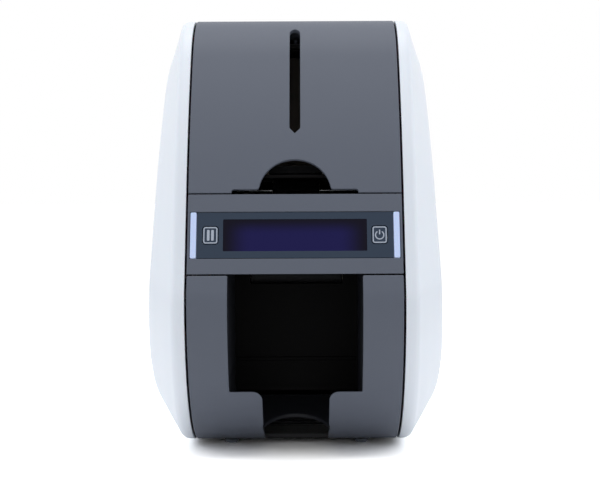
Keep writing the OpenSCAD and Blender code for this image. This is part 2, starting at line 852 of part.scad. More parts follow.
// ---- Rollers ----
// Rubber sleeve on a steel shaft; x0 and x1 are the shaft's ends
module roller(p, r, length, x0, x1) {
    rod(p, r, -length / 2, length / 2);
    rod(p, shaft_d / 2, x0, x1);
}

// Flanged belt pulley, its belt running from x0 inward by the belt's width
module pulley(p, x0, r = pulley_r) {
    rod(p, r, x0 - 1, x0 + belt_w + 1);
    rod(p, r + 2, x0 - 1.2, x0 - 0.2);
    rod(p, r + 2, x0 + belt_w + 0.2, x0 + belt_w + 1.2);
}

end_x = outer_x + 1.4;

module pick_roller() {
    color("#33343a") {
        roller(pick_p, pick_r, 30, -end_x, outer_x + belt_w + 4);
        pulley(pick_p, outer_x + 2.4);
    }
}

module feed_roller() {
    color("#33343a") {
        roller(feed_p, roller_r, roller_l, belt_x - 1.2, outer_x + belt_w + 4);
        pulley(feed_p, belt_x);
        pulley(feed_p, outer_x + 2.4);
    }
}

module platen_roller() {
    color("#33343a") {
        roller(platen_p, roller_r, roller_l, lift_x - 1.2, end_x);
        pulley(platen_p, belt_x);
        pulley(platen_p, lift_x, pulley_r + 5);
    }
}

module transport_roller() {
    color("#33343a") {
        roller(transport_p, roller_r, roller_l, belt_x - 1.2, end_x);
        pulley(transport_p, belt_x);
    }
}

module exit_roller() {
    color("#33343a") {
        roller(exit_p, small_r, roller_l, exit_belt_x - 1.2, end_x);
        pulley(exit_p, exit_belt_x);
    }
}

module cleaning_roller() {
    color("#5b83b8") roller(cleaning_p, roller_r, roller_l, -end_x, end_x);
}

module pinch_roller() {
    color("#33343a") roller(pinch_p, roller_r, roller_l, -end_x, end_x);
}

module exit_pinch() {
    color("#33343a") roller(exit_top_p, small_r, roller_l, -end_x, end_x);
}

// ---- Turner ----
trunnion_r = 4;
turner_x = [31.4, 34];

module gear(p, teeth, x0, x1, turn) {
    pitch_r = gear_m * teeth / 2;
    tip_r = pitch_r + 0.85 * gear_m;
    root_r = pitch_r - 1.15 * gear_m;
    step = 360 / teeth;
    translate([x0, p[0], p[1]]) rotate([90, 0, 90]) rotate(turn) linear_extrude(x1 - x0)
        polygon([for (i = [0:teeth - 1], c = [[root_r, -0.29], [pitch_r, -0.225],
            [tip_r, -0.11], [tip_r, 0.11], [pitch_r, 0.225], [root_r, 0.29]])
            c[0] * [cos((i + c[1]) * step), sin((i + c[1]) * step)]]);
}

gear_x = [-outer_x - 6.4, -outer_x - 1.4];

module turner_frame() {
    p = turn_axis;
    color("#2c2d33") difference() {
        union() {
            both_sides() slab(turner_x[0], turner_x[1]) translate(p)
                square([2 * turn_half, 16], center = true);
            for (h = [-2.6, 1.4]) box(sym(turner_x[0] + 0.1), sym(turn_half) + [p[0], p[0]],
                [p[1] + h, p[1] + h + 1.2]);
            both_sides() rod(p, trunnion_r, turner_x[1] - 0.1, outer_x + 0.5);
            rod(p, trunnion_r, gear_x[0] - 0.6, -outer_x);
            gear(p, gear_teeth, gear_x[0], gear_x[1], pinion_a);
        }
        box(sym(roller_l / 2 + 1), sym(small_r + 1) + [p[0], p[0]], sym(5) + [p[1], p[1]]);
        for (h = [-1, 1]) rod([p[0], p[1] + h * (small_r + nip / 2)], 2 + fit, -35, 35);
    }
}

module turner_idler(h) {
    p = [turn_axis[0], turn_axis[1] + h * (small_r + nip / 2)];
    color("#33343a") {
        rod(p, small_r, -roller_l / 2, roller_l / 2);
        rod(p, 2, -turner_x[1], turner_x[1]);
    }
}

module turner_roller() {
    turner_idler(-1);
}

module turner_pinch() {
    turner_idler(1);
}

module turner_pinion() {
    color("#d8d4c4") {
        gear(pinion_p, pinion_teeth, gear_x[0], gear_x[1], pinion_a + 180 + 180 / pinion_teeth);
        rod(pinion_p, 2, gear_x[0], -frame_x + 5);
    }
}

// Small gear motors: one turns the turner, one winds the ribbon
module gear_motors() {
    color("#55585e") {
        difference() {
            rod(pinion_p, 12.5, -frame_x + tight, -turner_x[1] - 6);
            rod(pinion_p, 2 + fit, -frame_x, -frame_x + 6);
        }
        rod(take_up_p, 11, -frame_x + tight, -cassette_x[1] - 4.4);
    }
}

motor_w = 42;

module main_motor() {
    color("#3c3e44") difference() {
        union() {
            box([-frame_x + tight, -frame_x + 34], sym(motor_w / 2) + [motor_p[0], motor_p[0]],
                sym(motor_w / 2) + [motor_p[1], motor_p[1]]);
            rod(motor_p, 11, -outer_x, -frame_x + 1);
        }
        rod(motor_p, 2.5 + fit, -outer_x - 1, -frame_x + 12);
    }
}

module motor_pulley() {
    color(steel) {
        rod(motor_p, 2.5, exit_belt_x - 2, -frame_x + 11);
        pulley(motor_p, lift_x);
        pulley(motor_p, exit_belt_x);
    }
}

// A closed belt round two pulleys
module belt(p, rp, q, rq, x0) {
    slab(x0, x0 + belt_w) difference() {
        hull() {
            translate(p) circle(r = rp + tight + belt_t, $fn = 48);
            translate(q) circle(r = rq + tight + belt_t, $fn = 48);
        }
        hull() {
            translate(p) circle(r = rp + tight, $fn = 48);
            translate(q) circle(r = rq + tight, $fn = 48);
        }
    }
}

module drive_belts() {
    color("#17171a") {
        belt(feed_p, pulley_r, transport_p, pulley_r, belt_x);
        belt(motor_p, pulley_r, platen_p, pulley_r + 5, lift_x);
        belt(motor_p, pulley_r, exit_p, pulley_r, exit_belt_x);
        belt(pick_p, pulley_r, feed_p, pulley_r, outer_x + 2.4);
    }
}

// ---- Print head ----
head_top = body_h - 23;
head_x = 33;
head_y = [platen_p[0] - 7.5, platen_p[0] + 7.5];
boss_y = head_y;
boss_x = 26;
block_z = [path_z + 6, path_z + 20];

module head_bracket() {
    color("#b9bdc3") difference() {
        union() {
            box(sym(head_x), [head_y[0] - 5, head_y[1] + 5], [head_top - 2, head_top]);
            for (y = [head_y[0], head_y[1] - 1.6]) box(sym(head_x), [y, y + 1.6],
                [block_z[1] - 2, head_top]);
            box(sym(head_x - 2), head_y, block_z);
        }
        for (x = [-24:6:24]) box([x - 1, x + 1], [0, 50], [block_z[0] + 7, block_z[1] + 1]);
    }
}

module thermal_head() {
    color("#e3ddcf") box(sym(roller_l / 2), [platen_p[0] - 5, platen_p[0] + 5],
        [path_z + 0.9, block_z[0]]);
}

// ---- Ribbon ----
core_r = 6;
roll_r = [9, 13];
flange_t = 1.2;
film_x = 28;
journal_r = 3.5;

module ribbon_cassette() {
    color("#3f4654") difference() {
        union() {
            both_sides() box(cassette_x, [take_up_p[0] - 14, supply_p[0] + 18.6], [192, 212]);
            for (y = [take_up_p[0] - 14, supply_p[0] + 16])
                box(sym(cassette_x[0] + 0.1), [y, y + 2.6], [192, 200]);
            both_sides() box([cassette_x[1] - 0.1, frame_x - tight], [-4, 44], [192, 194]);
        }
        for (p = [take_up_p, supply_p]) rod(p, journal_r + fit, -45, 45);
    }
}

module spool(p, r_roll, r_flange) {
    rod(p, journal_r, -cassette_x[1] - 1, cassette_x[1] + 1);
    rod(p, core_r, -film_x - 4, film_x + 4);
    rod(p, r_roll, -film_x, film_x);
    for (x = [-film_x - 2.6, film_x + 1.4]) rod(p, r_flange, x, x + flange_t);
}

module supply_spool() {
    color("#2f3a63") spool(supply_p, roll_r[1], 15);
}

module take_up_spool() {
    color("#2f3a63") {
        spool(take_up_p, roll_r[0], 11);
        rod(take_up_p, 2.5, -cassette_x[1] - 4, -cassette_x[1]);
    }
}

// Where a line from p touches the circle round c, on the chosen side
function tangent(p, c, r, side) =
    let (v = p - c, a = atan2(v[1], v[0]) + side * acos(r / norm(v)))
    c + r * [cos(a), sin(a)];

film_t = 0.2;
film_z = path_z + 0.35;

module ribbon_film() {
    low = [[platen_p[0] - 9, film_z], [platen_p[0] + 9, film_z]];
    left = tangent(low[0], take_up_p, roll_r[0] + 0.4, -1);
    right = tangent(low[1], supply_p, roll_r[1] + 0.4, 1);
    up = [0, film_t];
    side = [film_t, 0];
    color("#5a3f6e") slab(-film_x, film_x)
        polygon([left, low[0], low[1], right, right - side, low[1] + up - side / 2,
            low[0] + up + side / 2, left + side]);
}

module return_chute() {
    s = [52, 190];
    color("#303136") translate([0, turn_axis[0], path_z]) rotate([chute_tilt, 0, 0]) {
        for (z = [-2.2, 1.4]) box(sym(card_x + 2.4), [-s[1], -s[0]], [z, z + 1.2]);
        both_sides() box([card_x, card_x + 2.4], [-s[1], -s[0]], [-2.2, 2.6]);
        for (y = [-s[1] + 22, -s[0] - 20]) both_sides()
            box([card_x + 2.3, frame_x - tight], [y, y + 10], [-2.2, -1]);
    }
}

// ---- Electronics ----
module main_board() {
    color("#1f4a30") difference() {
        union() {
            box(sym(frame_x - 2), board_y, [board_z, board_z + 1.6]);
            box([-14, 6], [110, 130], [board_z + 1.5, board_z + 4]);
            box([16, 30], [96, 108], [board_z + 1.5, board_z + 3.4]);
            for (y = [92, 104, 116]) translate([-34, y, board_z + 1.5]) cylinder(d = 8, h = 12);
        }
        for (p = board_posts) translate([p[0], p[1], board_z - 1]) cylinder(d = screw_d + 2 * loose, h = 4);
    }
}

port_y = body_d / 2 - 0.9;
port_z = board_z + 1.6;

module port_box(p, depth) {
    box([p[0] - p[1] / 2, p[0] + p[1] / 2], [port_y - depth, port_y], [port_z, port_z + p[2]]);
}

module power_inlet() {
    p = ports[0];
    color(dark) difference() {
        port_box(p, 14);
        translate([p[0], port_y - 10, port_z + p[2] / 2]) rotate([-90, 0, 0]) cylinder(d = 7, h = 20);
    }
    color(dark) translate([p[0], port_y - 11, port_z + p[2] / 2]) rotate([-90, 0, 0])
        cylinder(d = 2, h = 9);
}

switch_p = [ports[1][0], port_y - 2.6, port_z + ports[1][2] / 2];
rocker_w = 15;

module switch_body() {
    color(dark) difference() {
        port_box(ports[1], 14);
        translate([switch_p[0] - rocker_w / 2 - loose, port_y - 8, port_z + 1])
            cube([rocker_w + 2 * loose, 20, ports[1][2] - 2]);
        rod([switch_p[1], switch_p[2]], 1 + fit, switch_p[0] - 9, switch_p[0] + 9);
    }
}

module power_rocker() {
    color("#3a3b40") {
        intersection() {
            rod([switch_p[1], switch_p[2]], 5, switch_p[0] - rocker_w / 2, switch_p[0] + rocker_w / 2);
            translate(switch_p) rotate([-rocker_tilt, 0, 0]) translate([-10, -3, -4.2])
                cube([20, 5.4, 8.4]);
        }
        rod([switch_p[1], switch_p[2]], 1, switch_p[0] - 8.6, switch_p[0] + 8.6);
    }
}

rocker_tilt = 8;

module data_sockets() {
    color("#c8ccd2") for (p = [ports[2], ports[3]]) difference() {
        port_box(p, 17);
        box([p[0] - p[1] / 2 + 1, p[0] + p[1] / 2 - 1], [port_y - 12, port_y + 2],
            [port_z + 1, port_z + p[2] - 1]);
    }
}

// ---- Latch of the top cover ----
module latch_button() {
    color("#4d525d") {
        intersection() {
            slab(-latch_x + loose, latch_x - loose) band(0.2);
            box([-20, 20], latch_y + [loose, -loose], [key_seat + 1, body_h + 5]);
        }
        box(sym(latch_x + 3), latch_y + [-2, 2], [key_seat, key_seat + 2]);
        translate([0, latch_y[0] - 0.6, hook_axis[1] + 2.5]) cylinder(d = 2.4, h = 6);
    }
}

module latch_hooks() {
    color("#3b3d43") {
        rod(hook_axis, hook_shaft_r, -lug_x[1] - 12, lug_x[1] + 12);
        box([-4, 4], [hook_axis[0] - 11, hook_axis[0]], [hook_axis[1] - 0.6, hook_axis[1] + 2.2]);
        both_sides() slab(lug_x[1] + 6.5, lug_x[1] + 11)
            polygon([[hook_axis[0] - 1, hook_axis[1] + 1], [stud_p[0] + 3.2, stud_p[1] + 4],
                [stud_p[0] + 3.2, stud_p[1] - 3], [stud_p[0] - 2.4, stud_p[1] - 3],
                [stud_p[0] - 1.4, stud_p[1] - 6.4], [stud_p[0] + 6.8, stud_p[1] - 6.4],
                [stud_p[0] + 6.8, stud_p[1] + 6], [hook_axis[0] + 2.4, hook_axis[1] - 0.6]]);
    }
}

// Coil spring under the button
spring_x = 11;
spring_r = 2.4;
spring_wire = 0.25;
key_seat = body_h - 12;
spring_z = [key_seat - 4.4, key_seat - 0.1];
spring_end = spring_wire + 0.1;
turns = 4;

module latch_spring() {
    steps = 14 * turns;
    sides = 6;
    points = [for (i = [0:steps], j = [0:sides - 1])
        let (a = 360 * i / 14, b = 360 * j / sides, r = spring_r + spring_wire * cos(b))
        [spring_x + r * cos(a), latch_y[0] + 1.5 + r * sin(a),
            spring_z[0] + spring_end + (spring_z[1] - spring_z[0] - 2 * spring_end) * i / steps
                + spring_wire * sin(b)]];
    tube = [for (i = [0:steps - 1], j = [0:sides - 1])
        let (k = (j + 1) % sides, a = i * sides, b = a + sides)
        each [[a + j, a + k, b + k], [a + j, b + k, b + j]]];
    ends = [[for (j = [sides - 1:-1:0]) j], [for (j = [0:sides - 1]) steps * sides + j]];
    color(steel) polyhedron(points, concat(tube, ends));
}

side_shell_left();
side_shell_right();
hopper_cover();
top_cover();
rear_cover();
console_frame();
console_lens();
lcd_module();
light_bars();
pause_button();
power_button();
button_board();
output_tray();
bay_liner();
base_chassis();
frame_left();
frame_right();
tie_rods();
feet();
hinge_pins();
bushings();
screws();
magazine();
card_weight();
gate_lever();
path_deck();
pick_roller();
feed_roller();
platen_roller();
transport_roller();
exit_roller();
cleaning_roller();
pinch_roller();
exit_pinch();
turner_frame();
turner_roller();
turner_pinch();
turner_pinion();
gear_motors();
main_motor();
motor_pulley();
drive_belts();
head_bracket();
thermal_head();
ribbon_cassette();
supply_spool();
take_up_spool();
ribbon_film();
return_chute();
fan_frame();
fan_impeller();
main_board();
power_inlet();
switch_body();
power_rocker();
data_sockets();
latch_button();
latch_hooks();
latch_spring();
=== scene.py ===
"""Studio scene of a desktop printer for plastic identity cards.

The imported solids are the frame. This script gives each of them its finish, and stands finer
meshes in for those whose surfaces show. The sizes in the classes are millimetres and the
meshes are made in metres, in the frame's axes: X to the right, Y from front to back, Z up.
"""

from __future__ import annotations

import json
import logging
import math
from collections.abc import Callable, Sequence
from dataclasses import dataclass, field
from enum import Enum

import bmesh
import bpy
from bmesh.types import BMesh, BMFace, BMVert
from bpy.types import Material, Node, NodeSocket, NodeTree, Object
from mathutils import Matrix, Vector

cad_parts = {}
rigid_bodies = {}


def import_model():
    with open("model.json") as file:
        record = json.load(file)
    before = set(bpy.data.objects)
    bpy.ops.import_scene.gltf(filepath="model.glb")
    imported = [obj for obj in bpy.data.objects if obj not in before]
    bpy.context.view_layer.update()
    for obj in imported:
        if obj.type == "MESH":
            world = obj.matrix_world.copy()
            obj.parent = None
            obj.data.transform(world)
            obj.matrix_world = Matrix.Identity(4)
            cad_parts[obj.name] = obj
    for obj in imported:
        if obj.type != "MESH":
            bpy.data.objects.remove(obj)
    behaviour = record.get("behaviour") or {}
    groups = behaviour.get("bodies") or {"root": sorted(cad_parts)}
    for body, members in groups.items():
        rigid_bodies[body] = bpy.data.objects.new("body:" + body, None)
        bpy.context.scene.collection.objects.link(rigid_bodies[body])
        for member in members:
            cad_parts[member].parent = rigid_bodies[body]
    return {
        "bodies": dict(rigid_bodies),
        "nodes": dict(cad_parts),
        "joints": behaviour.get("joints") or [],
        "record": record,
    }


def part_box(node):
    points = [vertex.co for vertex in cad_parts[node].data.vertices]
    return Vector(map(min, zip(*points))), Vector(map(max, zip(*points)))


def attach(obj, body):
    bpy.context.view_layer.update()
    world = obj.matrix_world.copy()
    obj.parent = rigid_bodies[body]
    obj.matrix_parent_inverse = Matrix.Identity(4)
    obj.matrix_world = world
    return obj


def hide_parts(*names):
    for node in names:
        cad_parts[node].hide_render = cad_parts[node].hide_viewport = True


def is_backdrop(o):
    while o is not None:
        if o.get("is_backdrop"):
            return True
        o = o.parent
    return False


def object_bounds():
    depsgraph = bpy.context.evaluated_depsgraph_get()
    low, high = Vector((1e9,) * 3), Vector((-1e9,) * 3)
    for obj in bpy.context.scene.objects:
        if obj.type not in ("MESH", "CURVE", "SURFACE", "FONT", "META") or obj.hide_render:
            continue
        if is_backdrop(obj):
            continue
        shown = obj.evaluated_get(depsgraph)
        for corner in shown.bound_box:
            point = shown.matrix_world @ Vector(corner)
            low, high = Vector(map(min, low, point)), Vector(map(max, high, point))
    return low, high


MM = 0.001
log = logging.getLogger("card_printer")

Point2 = tuple[float, float]
Point3 = tuple[float, float, float]
Loop = list[Point2]


# ---------------------------------------------------------------- node trees


def add_node(tree: NodeTree, kind: str, inputs: dict | None = None, **settings) -> Node:
    """Adds a node to a tree with its settings and links.

    Args:
        tree: the tree that gets the node.
        kind: the node's type.
        inputs: a value, or an output socket to link, for each input named or numbered.
        settings: the node's own properties.

    Returns:
        The new node.
    """
    node = tree.nodes.new(kind)
    for name, value in settings.items():
        setattr(node, name, value)
    for key, value in (inputs or {}).items():
        if isinstance(value, NodeSocket):
            tree.links.new(value, node.inputs[key])
        else:
            node.inputs[key].default_value = value
    return node


def maths(tree: NodeTree, operation: str, *values: float | NodeSocket) -> NodeSocket:
    """Adds one sum to a tree and returns its result."""
    return add_node(tree, "ShaderNodeMath", dict(enumerate(values)), operation=operation).outputs[0]


def linear(hex_color: str) -> tuple[float, float, float, float]:
    """Turns an sRGB hex colour into linear values with full alpha."""
    channels = [int(hex_color[i : i + 2], 16) / 255 for i in (1, 3, 5)]
    return (*[c / 12.92 if c <= 0.04045 else ((c + 0.055) / 1.055) ** 2.4 for c in channels], 1.0)


# ---------------------------------------------------------------- finishes


class Grain(Enum):
    """How a surface was made, which sets the pattern that the eye sees on it."""

    SPARKED = "fine pits of a spark-eroded mould"
    POLISHED = "polished mould or glass, with a faint long wave"
    BRUSHED = "fine lines along X from rolling or brushing"
    TURNED = "fine rings about X from a lathe or a grinding wheel"
    CAST = "coarse grains of sintered or die-cast metal"


# How a grain's pattern is squeezed along X, Y and Z, where that differs from evenly
SQUEEZE = {
    Grain.BRUSHED: (0.03, 1.0, 1.0),
    Grain.TURNED: (1.0, 0.05, 0.05),
    Grain.POLISHED: (0.06, 0.06, 0.06),
}
EVENLY = (1.0, 1.0, 1.0)
# How far the roughness follows the pattern, on polished surfaces and on the others
POLISHED_SPREAD = 0.05
TEXTURED_SPREAD = 0.14
LEAST_ROUGHNESS = 0.02
# The part of the noise's range in which nearly all of its values lie
NOISE_RANGE = (0.3, 0.7)
# Noise cells in a metre for the slow drift of the colour
DRIFT_SCALE = 28.0
COAT_ROUGHNESS = 0.06
SHEEN_ROUGHNESS = 0.4
# How deep light travels in a milky moulding, in metres
SCATTER_DEPTH = 0.002


@dataclass(frozen=True)
class Finish:
    """A real material and how its surface was made.

    Attributes:
        name: common name of the material and its finish.
        tint: sRGB colour.
        roughness: mean roughness.
        grain: kind of surface pattern.
        grain_mm: size of one grain, or spacing of the lines.
        relief_mm: height of the pattern.
        mottle: how far the colour wanders over a few centimetres.
        metallic: 1 for a metal.
        ior: index of refraction of what is not metal.
        gloss: how much of its IOR's shine the surface keeps, where 0.5 is all of it.
        coat: weight of a clear layer on top.
        sheen: weight of a soft sheen, as on rubber.
        scatter: share of light that travels inside, as in a thin white moulding.
    """

    name: str
    tint: str
    roughness: float
    grain: Grain = Grain.SPARKED
    grain_mm: float = 0.6
    relief_mm: float = 0.01
    mottle: float = 0.05
    metallic: float = 0.0
    ior: float = 1.5
    gloss: float = 0.5
    coat: float = 0.0
    sheen: float = 0.0
    scatter: float = 0.0

    def material(self) -> Material:
        """Returns the material of this finish, which is built when it is first asked for."""
        found = bpy.data.materials.get(self.name)
        return found or self._build()

    def _build(self) -> Material:
        """Builds the material."""
        made = bpy.data.materials.new(self.name)
        made.use_nodes = True
        tree = made.node_tree
        tree.nodes.clear()
        place = add_node(tree, "ShaderNodeTexCoord").outputs["Object"]
        surface = add_node(tree, "ShaderNodeBsdfPrincipled", {
            "Metallic": self.metallic, "IOR": self.ior, "Specular IOR Level": self.gloss,
            "Coat Weight": self.coat, "Coat Roughness": COAT_ROUGHNESS,
            "Sheen Weight": self.sheen, "Sheen Roughness": SHEEN_ROUGHNESS,
            "Subsurface Weight": self.scatter, "Subsurface Scale": SCATTER_DEPTH,
        })
        self._paint(tree, place, surface)
        self._roughen(tree, place, surface)
        add_node(tree, "ShaderNodeOutputMaterial", {"Surface": surface.outputs["BSDF"]})
        made.diffuse_color = linear(self.tint)
        return made

    def _paint(self, tree: NodeTree, place: NodeSocket, surface: Node) -> None:
        """Gives the surface its colour, which wanders a little from place to place."""
        drift = add_node(tree, "ShaderNodeTexNoise", {
            "Vector": place, "Scale": DRIFT_SCALE, "Detail": 3.0})
        color = linear(self.tint)
        low = [c * (1 - self.mottle) for c in color[:3]] + [1.0]
        high = [min(1.0, c * (1 + self.mottle)) for c in color[:3]] + [1.0]
        mixed = add_node(tree, "ShaderNodeMix", {
            "Factor": drift.outputs["Fac"], 6: low, 7: high}, data_type="RGBA")
        tree.links.new(mixed.outputs[2], surface.inputs["Base Color"])

    def _roughen(self, tree: NodeTree, place: NodeSocket, surface: Node) -> None:
        """Gives the surface its relief, and a roughness that follows it."""
        laid = add_node(tree, "ShaderNodeMapping", {
            "Vector": place, "Scale": SQUEEZE.get(self.grain, EVENLY)})
        pits = add_node(tree, "ShaderNodeTexNoise", {
            "Vector": laid.outputs["Vector"], "Scale": 1 / (self.grain_mm * MM), "Detail": 4.0,
            "Roughness": 0.7 if self.grain is Grain.CAST else 0.5})
        spread = POLISHED_SPREAD if self.grain is Grain.POLISHED else TEXTURED_SPREAD
        rough = add_node(tree, "ShaderNodeMapRange", {
            "Value": pits.outputs["Fac"], "From Min": NOISE_RANGE[0], "From Max": NOISE_RANGE[1],
            "To Min": max(LEAST_ROUGHNESS, self.roughness - spread / 2),
            "To Max": self.roughness + spread / 2})
        bump = add_node(tree, "ShaderNodeBump", {
            "Height": pits.outputs["Fac"], "Distance": self.relief_mm * MM, "Strength": 1.0})
        tree.links.new(rough.outputs["Result"], surface.inputs["Roughness"])
        tree.links.new(bump.outputs["Normal"], surface.inputs["Normal"])


# Satin white that blurs the softboxes into broad, soft highlights
WHITE_SHELL = Finish("ABS, satin white moulding", "#e3eaf4", 0.36, Grain.SPARKED, 0.5, 0.004, 0.012,
                     scatter=0.04)
# Dull grey with fine pits, without a hot spot anywhere
GREY_COVER = Finish("ABS, matt grey moulding", "#5b616e", 0.52, Grain.SPARKED, 0.55, 0.012, 0.03,
                    gloss=0.3)
# Nearly black and dull, so that what it covers sinks back
DARK_PLASTIC = Finish("ABS, matt black moulding", "#1b1c20", 0.5, Grain.SPARKED, 0.6, 0.012, 0.06,
                      gloss=0.3)
# Painted light: warm umber made lighter than the moulding looks in the dim hopper, as its inside shows
# through the slit
MAGAZINE_WITH_PAINTED_LIGHT = Finish("PC, umber moulding with painted light", "#7d746b", 0.5, Grain.SPARKED, 0.6, 0.01, 0.06,
                          gloss=0.3)
# Slippery dark grey with a faint, waxy shine
PATH_PLASTIC = Finish("POM, smooth dark grey moulding", "#34353b", 0.36, Grain.SPARKED, 0.8, 0.006, 0.05)
# Black moulding darkened further and with hardly any shine, as painted shade that keeps the deep bay a
# dark opening
BAY_BLACK_AND_SHADE = Finish("ABS, black moulding of the bay with painted shade", "#050506", 0.5, Grain.SPARKED, 0.6, 0.008, 0.08,
                     gloss=0.06)
# Painted shade: darker than the lip on the tray's inside and on its sides along the seams, which makes
# the tray look deep
TRAY_PAINTED_SHADE = Finish("ABS, tray inside with painted shade", "#202228", 0.5, Grain.SPARKED, 0.6, 0.012, 0.05,
                     gloss=0.2)
# A calm dark mirror over slate-coloured print
PANEL_ACRYLIC = Finish("Acrylic, back-printed slate", "#333f50", 0.16, Grain.POLISHED, 5.0, 0.004, 0.02,
                       gloss=0.16)
# Flat pale ink that stands out from the keys
PRINT = Finish("Ink, pale grey print", "#a9b2c2", 0.4, Grain.SPARKED, 0.6, 0.004, 0.04)
# Matt black with fine rings and a dusty sheen
RUBBER = Finish("NBR, ground rubber", "#2b2c30", 0.78, Grain.TURNED, 0.3, 0.02, 0.08, sheen=0.15)
# Dull light grey, soft where it meets the table
FOOT_RUBBER = Finish("TPE, grey moulded rubber", "#7b818c", 0.7, Grain.SPARKED, 0.8, 0.02, 0.08,
                     sheen=0.1)
# Wet-looking blue that lets a little light in
TACKY = Finish("Silicone, tacky blue", "#5f8bc4", 0.22, Grain.POLISHED, 6.0, 0.01, 0.05, scatter=0.15)
# Dark metal whose shine is low and broad
BLACK_STEEL = Finish("Steel, black oxide plate", "#232427", 0.5, Grain.SPARKED, 0.8, 0.006, 0.08,
                     metallic=0.7)
# Cool bright sheet with broken-up highlights
STEEL = Finish("Steel, bright zinc plate", "#b9bdc2", 0.34, Grain.SPARKED, 1.6, 0.006, 0.06, metallic=1.0)
# Sharp bright line along a shaft, from its fine rings
SHAFT_STEEL = Finish("Steel, ground shaft", "#c8cacc", 0.2, Grain.TURNED, 0.25, 0.002, 0.03, metallic=1.0)
# Silvery lines that smear the light across them
ALUMINIUM = Finish("Aluminium, extruded", "#c3c7cb", 0.36, Grain.BRUSHED, 0.35, 0.006, 0.04, metallic=1.0)
# Golden, with a highlight that the pores break up
BRONZE = Finish("Bronze, sintered", "#b88a4a", 0.42, Grain.CAST, 0.5, 0.02, 0.1, metallic=1.0)
# Clear cool shine on thin folded metal
SOCKET_METAL = Finish("Brass, nickel plate", "#cfd2d6", 0.22, Grain.BRUSHED, 0.5, 0.003, 0.04,
                      metallic=1.0)
# Smoky dark metal with faint rings
MOTOR_CAN = Finish("Steel, black chromate can", "#4a4c52", 0.4, Grain.TURNED, 0.6, 0.006, 0.06,
                   metallic=0.6)
# Green lacquer that glints over an uneven ground
BOARD = Finish("FR4, green solder mask", "#1d4a31", 0.3, Grain.SPARKED, 1.2, 0.01, 0.12, coat=0.3)
# Creamy and a little see-through at the edges
ACETAL = Finish("POM, natural acetal", "#ded9ca", 0.35, Grain.SPARKED, 0.9, 0.004, 0.02, scatter=0.1)
# Clean satin blue that marks what a hand may move
LEVER_BLUE = Finish("ABS, blue moulding", "#3c66a8", 0.4, Grain.SPARKED, 0.6, 0.008, 0.04)
# Cream with a hard, wet glint
CERAMIC = Finish("Alumina, glazed", "#e0dacb", 0.15, Grain.POLISHED, 4.0, 0.01, 0.03, coat=0.5)
# Satin slate with soft highlights
CASSETTE = Finish("PS, moulded cassette", "#414857", 0.38, Grain.SPARKED, 0.7, 0.008, 0.05)
# Satin deep blue with soft highlights
SPOOL = Finish("PS, spool core", "#33405f", 0.36, Grain.SPARKED, 0.7, 0.006, 0.05)
# Flat black with faint lines along it
BELT = Finish("Polyurethane, black belt", "#1a1a1d", 0.6, Grain.BRUSHED, 0.8, 0.02, 0.06)


# ---------------------------------------------------------------- side outline


def on_arc(centre: Point2, radius: float, tangent: float) -> Point2:
    """Returns the point of an arc whose tangent has this angle, in degrees."""
    turn = math.radians(tangent)
    return centre[0] - radius * math.cos(turn), centre[1] + radius * math.sin(turn)


@dataclass(frozen=True)
class Arc:
    """Part of the outline that turns from one tangent angle to another."""

    centre: Point2
    radius: float
    start: float
    end: float

    @property
    def length(self) -> float:
        """Length of the arc."""
        return self.radius * math.radians(self.end - self.start)

    def at(self, share: float, depth: float) -> Point2:
        """Returns the point at a share of the length, moved inward by a depth."""
        return on_arc(self.centre, self.radius - depth, self.start + (self.end - self.start) * share)

    def faces(self, point: Point2) -> bool:
        """Returns whether a point lies in the wedge between the arc and its centre."""
        turn = math.degrees(math.atan2(point[1] - self.centre[1], self.centre[0] - point[0]))
        return (turn - self.start) % 360 <= self.end - self.start


@dataclass(frozen=True)
class Run:
    """Straight part of the outline."""

    start: Point2
    end: Point2
    tangent: float

    @property
    def length(self) -> float:
        """Length of the straight."""
        return math.dist(self.start, self.end)

    def at(self, share: float, depth: float) -> Point2:
        """Returns the point at a share of the length, moved inward by a depth."""
        turn = math.radians(self.tangent)
        return (
            self.start[0] + (self.end[0] - self.start[0]) * share + depth * math.cos(turn),
            self.start[1] + (self.end[1] - self.start[1]) * share - depth * math.sin(turn),
        )

    def depth_of(self, point: Point2) -> float:
        """Returns how far inside the straight a point lies."""
        turn = math.radians(self.tangent)
        return (point[0] - self.start[0]) * math.cos(turn) - (point[1] - self.start[1]) * math.sin(turn)


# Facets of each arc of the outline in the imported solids, from the front's foot to the heel
PACKED_FACETS = (14, 2, 4, 8, 6, 10, 14)


